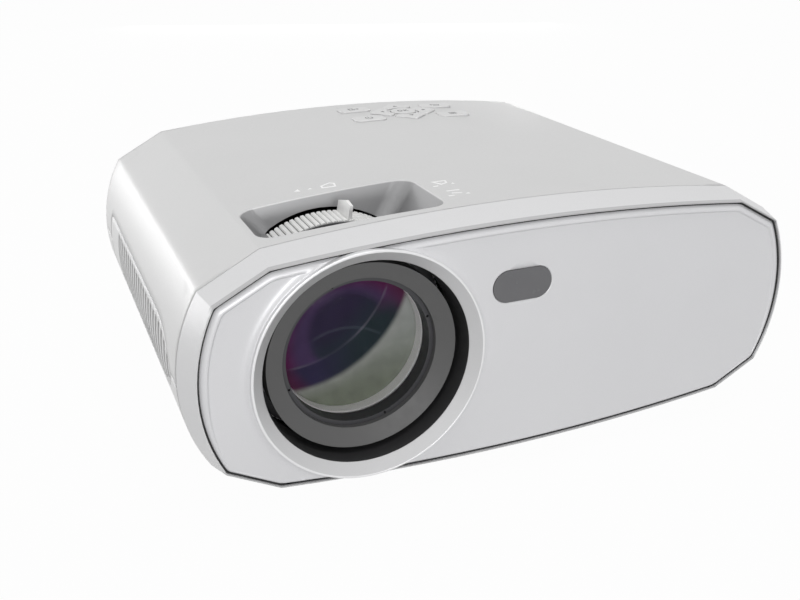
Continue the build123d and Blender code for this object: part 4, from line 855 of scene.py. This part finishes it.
def plate(made, left, right, surface, closed=False):
    """Thin ink between two lines of (x, y) points that run side by side."""
    rows = []
    for line, lift in ((left, INK), (right, INK), (right, -INK), (left, -INK)):
        rows.append([made.verts.new((x * MM, FRONT + y * MM, surface(x, y) + lift * MM)) for x, y in line])
    close_round(made, rows, closed)
    if not closed:
        made.faces.new([row[0] for row in rows])
        made.faces.new([row[-1] for row in reversed(rows)])


def film(made, shape, surface):
    """A triangle of ink, as a strip that narrows to its third corner."""
    x2, y2 = shape[2]
    sides = [[(x, y), (x2 + (x - x2) * FILM_TIP, y2 + (y - y2) * FILM_TIP)] for x, y in shape[:2]]
    plate(made, *sides, surface)


def stroke(made, points, width, surface, closed=False):
    """A line of ink of one width through the points, mitred where it turns."""
    count = len(points)
    left, right = [], []
    for number, (x, y) in enumerate(points):
        sides = []
        for start, stop in ((number - 1, number), (number, number + 1)):
            if not closed and (start < 0 or stop >= count):
                continue
            x0, y0 = points[start % count]
            x1, y1 = points[stop % count]
            length = math.hypot(x1 - x0, y1 - y0)
            sides.append(((y0 - y1) / length, (x1 - x0) / length))
        across = sum(side[0] for side in sides) / len(sides)
        up = sum(side[1] for side in sides) / len(sides)
        reach = width / 2 / max(across**2 + up**2, LEAST_MITRE)
        left.append((x + across * reach, y + up * reach))
        right.append((x - across * reach, y - up * reach))
    plate(made, left, right, surface, closed)


def round_line(x, y, radius, start, stop, count=20):
    """Points along an arc between two angles in degrees."""
    turns = [math.radians(start + (stop - start) * number / count) for number in range(count + 1)]
    return [(x + radius * math.cos(turn), y + radius * math.sin(turn)) for turn in turns]


# Signs beside the finger recess, x from the middle and y from the front in mm; lines as (points, closed)
TRIANGLES = (
    ((-81.5, 70.7), (-79.1, 73.2), (-78.8, 69.5)),
    ((-75.2, 70.3), (-73.8, 71.3), (-73.1, 69.7)),
    ((-15.7, 44.8), (-14.3, 46.1), (-14.2, 44.1)),
    ((-16.5, 28.6), (-14.8, 29.7), (-14.4, 28.1)),
)
PICTOGRAMS = (
    (((-68.5, 71.3), (-63.7, 73.8), (-62.0, 72.1), (-62.9, 67.6), (-68.7, 68.6)), True),
    (((-22.2, 50.8), (-16.1, 50.7), (-16.8, 47.3), (-20.0, 46.0)), True),
    (((-24.8, 44.2), (-22.4, 44.4)), False),
    (((-22.4, 35.6), (-16.3, 35.3)), False),
    (((-21.6, 31.9), (-17.1, 30.8)), False),
    (((-24.7, 28.7), (-21.9, 28.6)), False),
)

# Legends on the keys: lines as (points, closed) and triangles, in mm from the middle of its cap
LETTER_TURNS = np.linspace(0, 2 * math.pi, 24)[:-1]
LETTER_O = [(-2.0 + 1.25 * math.cos(turn), 1.6 * math.sin(turn)) for turn in LETTER_TURNS]
BACK_ARROW = [(-2.0, 1.0), (1.2, 1.0)] + round_line(1.2, -0.4, 1.4, 80, -90, 12) + [(-1.6, -1.8)]
KEY_LINES = {
    "key_ok": (
        (LETTER_O, True),
        ([(0.7, 1.6), (0.7, -1.6)], False),
        ([(2.9, 1.6), (0.9, 0.0), (2.9, -1.6)], False),
    ),
    "key_power": ((round_line(0, 0, 2.1, 125, 415), False), ([(0, 0.4), (0, 2.7)], False)),
    "key_source": (
        ([(0.2, 1.9), (-3.0, 1.9), (-3.0, -1.9), (0.2, -1.9)], False),
        ([(-1.2, 0), (2.2, 0)], False),
    ),
    "key_menu": tuple(([(-2.3, y), (2.3, y)], False) for y in (1.6, 0, -1.6)),
    "key_back": ((BACK_ARROW, False),),
}
KEY_TRIANGLES = {
    "key_up": ((-1.5, -0.8), (1.5, -0.8), (0, 1.3)),
    "key_down": ((-1.5, 0.8), (1.5, 0.8), (0, -1.3)),
    "key_left": ((0.8, -1.5), (0.8, 1.5), (-1.3, 0)),
    "key_right": ((-0.8, -1.5), (-0.8, 1.5), (1.3, 0)),
    "key_source": ((2.0, -1.2), (2.0, 1.2), (3.4, 0)),
    "key_back": ((-1.8, -0.2), (-1.8, 2.2), (-3.2, 1.0)),
}

# A face belongs to a key's cap when it looks up and lies within CAP_DEPTH of the key's top
CAP_LEVEL = 0.9
CAP_DEPTH = 1.6 * MM


def marks_mesh(name):
    """The marks beside the focus ring's recess."""
    made = bmesh.new()
    for triangle in TRIANGLES:
        film(made, triangle, shell_surface)
    for points, closed in PICTOGRAMS:
        stroke(made, points, STROKE, shell_surface, closed)
    return mesh_from(name, made)


def legend_mesh(key):
    """The legend in the middle of one key's cap."""
    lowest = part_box(key)[1].z - CAP_DEPTH
    cap = [face for face in nodes[key].data.polygons if face.normal.z > CAP_LEVEL and face.center.z > lowest]
    area = sum(face.area for face in cap)
    middle_x = sum(face.center.x * face.area for face in cap) / area / MM
    middle_y = (sum(face.center.y * face.area for face in cap) / area - FRONT) / MM
    made = bmesh.new()
    surface = key_surface(key)
    for points, closed in KEY_LINES.get(key, ()):
        stroke(made, [(middle_x + x, middle_y + y) for x, y in points], KEY_STROKE, surface, closed)
    if key in KEY_TRIANGLES:
        film(made, [(middle_x + x, middle_y + y) for x, y in KEY_TRIANGLES[key]], surface)
    return mesh_from(key + "_legend", made)


# Painted and white plastics
silver_shell = painted(
    "silver_shell", srgb(213, 213, 213), 0.38, 0.15, wide=("X", 100 * MM, 104 * MM, 6 * MM), recess=RECESS_BOX
)
silver_bezel = painted("silver_bezel", srgb(220, 220, 221), 0.36, 0.08, edge=0.5 * MM, shade_band=True)
silver_panel = painted("silver_panel", srgb(217, 217, 219), 0.38, 0.2, edge=0)
silver_rear = painted("silver_rear", srgb(213, 213, 216), 0.38, 0.2)
silver_trim = painted("silver_trim", srgb(203, 203, 204), 0.36, 0.4, edge=0.25 * MM, lip_highlight=True)
silver_keys = painted("silver_keys", srgb(220, 220, 220), 0.4, 0.1, edge=0.4 * MM)
white_ring = ribbed_white("white_ring")
white_tab = moulded("white_tab", srgb(250, 250, 249), 0.36, depth=0.003 * MM, dust=0.01)
white_ink = moulded("white_ink", srgb(255, 255, 255), 0.5, edge=0, dust=0.005)

# Dark plastics, paper and rubber
legend_grey = moulded("legend_grey", srgb(92, 92, 94), 0.5, edge=0, dust=0.02)
# Dark seal that also stands in for painted shade in the panel gaps
seal_and_gap_shade = moulded("seal_and_gap_shade", srgb(34, 34, 35), 0.8, edge=0)
black_well = moulded("black_well", srgb(58, 58, 59), 0.34, grain=2 * MM, depth=0.001 * MM, dust=0.02)
black_inner = moulded("black_inner", srgb(30, 30, 31), 0.6)
barrel_grey = moulded(
    "barrel_grey", srgb(96, 96, 96), 0.42, grain=2 * MM, depth=0.001 * MM, dust=0.01, Specular_IOR_Level=0.2
)
retainer_grey = moulded(
    "retainer_grey", srgb(50, 50, 53), 0.5, grain=6 * MM, depth=0.0002 * MM, edge=0, dust=0.01
)
smoked = moulded(
    "smoked_window", srgb(109, 109, 111), 0.22, depth=0.002 * MM, dust=0.02, Specular_IOR_Level=0.2
)
rubber = moulded("foot_rubber", srgb(40, 40, 41), 0.75, grain=0.8 * MM, depth=0.05 * MM)
knob_black = moulded("knob_black", srgb(48, 48, 49), 0.5)
paper_cone = moulded("speaker_cone", srgb(52, 50, 48), 0.8, grain=0.9 * MM, depth=0.08 * MM)

# Metals and boards; the plastic in the sockets is placed from their own boxes
TONGUE_INSET = 1.9 * MM
TONGUE_HALF = 0.75 * MM
VGA_HALF = (8.4 * MM, 3.6 * MM)
steel = metal("bright_steel", srgb(186, 187, 188), 0.28, (1, 6, 1))
brass = metal("machined_brass", srgb(205, 172, 96), 0.3, (1, 1, 8))
sink_metal = metal("sink_aluminium", srgb(196, 198, 200), 0.38, (1, 1, 5))
tongues = [
    (x, z, half - TONGUE_INSET, TONGUE_HALF)
    for name in ("hdmi_sockets", "usb_sockets")
    for x, z, half in solids_across(name)
]
tongue_metal = socket_metal("socket_plating", tongues, srgb(38, 38, 40))
vga_low, vga_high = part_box("vga_socket")
vga_middle = ((vga_low.x + vga_high.x) / 2, (vga_low.z + vga_high.z) / 2)
vga_metal = socket_metal("vga_plating", [(*vga_middle, *VGA_HALF)], srgb(38, 62, 120))
green_board = board_green("green_board")

# Glass
lamp_glass = clear_glass("lamp_glass", srgb(230, 232, 232), 0.05, 0.35)
front_clear = clear_glass("front_clear", srgb(70, 60, 86), 0.02, 0.04, Specular_IOR_Level=0.1)
coated = coated_glass("coated_glass")
frosted_edge = moulded("frosted_edge", srgb(250, 248, 248), 0.5, edge=0, dust=0.01, Metallic=0.2)

dressing = {
    silver_shell: ("top_shell", "bottom_shell", "left_grille", "right_grille"),
    silver_bezel: ("front_bezel", "rear_bezel"),
    silver_panel: ("front_panel",),
    silver_rear: ("rear_panel",),
    silver_trim: ("lens_trim_ring",),
    white_ring: ("focus_ring",),
    white_tab: ("focus_tab",),
    black_well: ("lens_sleeve",),
    black_inner: (
        "lens_mount", "rear_retaining_ring", "optical_box", "optical_cover", "exhaust_fan", "exhaust_rotor",
        "intake_fan", "intake_rotor", "power_inlet",
    ),
    barrel_grey: ("lens_barrel",),
    retainer_grey: ("lens_retaining_ring",),
    smoked: ("front_ir_window", "rear_ir_window"),
    rubber: ("rear_feet",),
    knob_black: ("front_foot_knob", "front_foot_stem"),
    steel: ("cam_pins", "ring_clip", "case_screws", "lens_screws"),
    tongue_metal: ("hdmi_sockets", "usb_sockets"),
    vga_metal: ("vga_socket",),
    brass: ("mount_inserts", "inlet_pins"),
    sink_metal: ("heatsink", "led_module"),
    green_board: ("key_board", "main_board", "power_board"),
    paper_cone: ("speaker_left", "speaker_right"),
    lamp_glass: (
        "middle_lens", "rear_lens", "condenser_lens", "front_field_lens", "rear_field_lens", "lcd_panel",
    ),
    front_clear: ("front_lens",),
    silver_keys: tuple(sorted(name for name in nodes if name.startswith("key_") and name != "key_board")),
}
for material, names in dressing.items():
    for name in names:
        mesh = nodes[name].data
        mesh.materials.clear()
        mesh.materials.append(material)

# Front panel and the dark seals in the gaps round both panels, which also stand in for the shade in those
# gaps
soft_panel = finish_piece("soft_panel", panel_mesh("soft_panel"), silver_panel, "housing")
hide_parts("front_panel")
for name, plane, inward in (("front_seal_and_shade", FRONT, 1), ("rear_seal_and_shade", REAR, -1)):
    seal_and_shade = finish_piece(name, seal_and_shade_mesh(name, plane, inward), seal_and_gap_shade, "housing")

# Marks
marks = finish_piece("top_marks", marks_mesh("top_marks"), white_ink, "housing")
for key in sorted(set(KEY_LINES) | set(KEY_TRIANGLES)):
    legend = finish_piece(key + "_legend", legend_mesh(key), legend_grey, key)

# Front lens in mm: a thin clear dome, the coated surface with painted reflections behind it and the frosted
# edge of the glass
GLASS_RADIUS = 32.5
GLASS_THICKNESS = 0.5
GLASS_STEPS = 16
DOME_EDGE = 22.0
DOME_RISE = 5.7
DISH_EDGE = 29.7
DISH_SAG = 1.6
FROSTED_RADII = (GLASS_RADIUS + 0.05, GLASS_RADIUS + 1.2)
FROSTED_DEPTHS = (DOME_EDGE + 0.4, 30.0)


def arc_depth(edge, rise, reach):
    """Depth at reach from the axis of a spherical surface that bulges forward by rise."""
    sphere = bow(GLASS_RADIUS, rise)
    return edge - (math.sqrt(sphere**2 - reach**2) - (sphere - rise))


def glass_sheet(name, surface, material):
    """Thin sheet of glass behind a surface of (radius, depth) points."""
    back = [(reach, depth + GLASS_THICKNESS) for reach, depth in reversed(surface)]
    return lathe(name, surface + back, material, "lens_barrel")


steps = [GLASS_RADIUS * number / GLASS_STEPS for number in range(GLASS_STEPS + 1)]
dome = [(reach, arc_depth(DOME_EDGE, DOME_RISE, reach)) for reach in steps]
dish = [(reach, 2 * DISH_EDGE - arc_depth(DISH_EDGE, DISH_SAG, reach) - DISH_SAG) for reach in steps]
(inner, outer), (ahead, behind) = FROSTED_RADII, FROSTED_DEPTHS
frosted = [(inner, ahead), (outer, ahead), (outer, behind), (inner, behind)]
clear_dome = glass_sheet("clear_dome", dome, front_clear)
coated_back = glass_sheet("coated_back", dish, coated)
edge_ring = lathe("glass_edge", frosted, frosted_edge, "lens_barrel")
for piece in (clear_dome, coated_back, edge_ring):
    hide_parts("front_lens")

# Studio: size and grey of the floor, light of the world, and how bright each is seen
FLOOR_SIZE = 12
FLOOR_GREY = 0.42
FLOOR_SEEN = 0.975
WORLD_LIGHT = 0.44
WORLD_SEEN = 1.0


def seen_white(tree, shade, output, bright):
    """Show a white of strength bright to the camera and in gloss and glass, and shade to all other light."""
    path = tree.nodes.new("ShaderNodeLightPath")
    share = path.outputs["Is Camera Ray"]
    for label in ("Is Glossy Ray", "Is Transmission Ray"):
        larger = tree.nodes.new("ShaderNodeMath")
        larger.operation = "MAXIMUM"
        tree.links.new(share, larger.inputs[0])
        tree.links.new(path.outputs[label], larger.inputs[1])
        share = larger.outputs[0]
    part = tree.nodes.new("ShaderNodeMath")
    part.operation = "MULTIPLY"
    part.inputs[1].default_value = bright
    blend = tree.nodes.new("ShaderNodeMixShader")
    kind = "ShaderNodeBackground" if output.bl_idname == "ShaderNodeOutputWorld" else "ShaderNodeEmission"
    white = tree.nodes.new(kind)
    white.inputs["Color"].default_value = (1, 1, 1, 1)
    tree.links.new(share, part.inputs[0])
    for number, source in enumerate((part.outputs[0], shade, white.outputs[0])):
        tree.links.new(source, blend.inputs[number])
    tree.links.new(blend.outputs[0], output.inputs[0])


# Floor
bpy.ops.mesh.primitive_plane_add(size=FLOOR_SIZE, location=(0, 0, 0))
floor = bpy.context.object
floor.name = "floor"
paper = bpy.data.materials.new("floor_paper")
paper.use_nodes = True
base = paper.node_tree.nodes["Principled BSDF"]
base.inputs["Base Color"].default_value = (FLOOR_GREY, FLOOR_GREY, FLOOR_GREY, 1)
base.inputs["Roughness"].default_value = 0.9
seen_white(paper.node_tree, base.outputs[0], paper.node_tree.nodes["Material Output"], FLOOR_SEEN)
floor.data.materials.append(paper)

# World: white where it is seen, and a dim even tent for all other light
world = bpy.data.worlds.new("studio")
bpy.context.scene.world = world
world.use_nodes = True
sky = world.node_tree.nodes["Background"]
sky.inputs["Color"].default_value = (1, 1, 1, 1)
sky.inputs["Strength"].default_value = WORLD_LIGHT
seen_white(world.node_tree, sky.outputs[0], world.node_tree.nodes["World Output"], WORLD_SEEN)

# Lamps that face the body: name, place, width and height in metres, and power in watts
BODY_MIDDLE = (0, 0, 0.06)
LAMPS = (
    ("overhead", (0.0, -0.25, 1.35), 1.1, 0.6, 6.0),
    ("left_bank", (-1.15, 1.1, 0.3), 1.3, 0.5, 9.6),
    ("front_fill", (-0.25, -1.5, 0.25), 0.9, 0.2, 8.7),
    ("rear_fill", (0.5, 1.5, 0.05), 0.9, 0.1, 3),
)


def softbox(name, place, width, height, power):
    """Rectangular lamp at place that faces the body."""
    lamp = bpy.data.lights.new(name, "AREA")
    lamp.shape = "RECTANGLE"
    lamp.size = width
    lamp.size_y = height
    lamp.energy = power
    holder = bpy.data.objects.new(name, lamp)
    holder.location = place
    holder.rotation_euler = (Vector(BODY_MIDDLE) - Vector(place)).to_track_quat("-Z", "Y").to_euler()
    bpy.context.scene.collection.objects.link(holder)


for lamp in LAMPS:
    softbox(*lamp)

# Camera where the photograph was taken from: turns in degrees, focal length in mm, place in metres
YAW, PITCH, ROLL = (math.radians(angle) for angle in (23.096, 23.131, 0.126))
FOCAL_LENGTH = 42.195
CAMERA_PLACE = (-0.19721, FRONT - 0.32246, AXIS_Z + 0.17747)
forward = Vector((math.sin(YAW) * math.cos(PITCH), math.cos(YAW) * math.cos(PITCH), -math.sin(PITCH)))
right = forward.cross(Vector((0, 0, 1))).normalized()
up = right.cross(forward)
turned_right = right * math.cos(ROLL) + up * math.sin(ROLL)
turned_up = up * math.cos(ROLL) - right * math.sin(ROLL)
lens = bpy.data.cameras.new("camera")
lens.sensor_width = 36
lens.lens = FOCAL_LENGTH
lens.clip_start = 0.01
camera = bpy.data.objects.new("camera", lens)
pose = Matrix((turned_right, turned_up, -forward)).transposed().to_4x4()
pose.translation = Vector(CAMERA_PLACE)
camera.matrix_world = pose
bpy.context.scene.collection.objects.link(camera)
bpy.context.scene.camera = camera
bpy.context.scene.view_settings.view_transform = "Standard"


def corners(box):
    """A box as plain lists of numbers."""
    return [list(map(float, corner)) for corner in box]
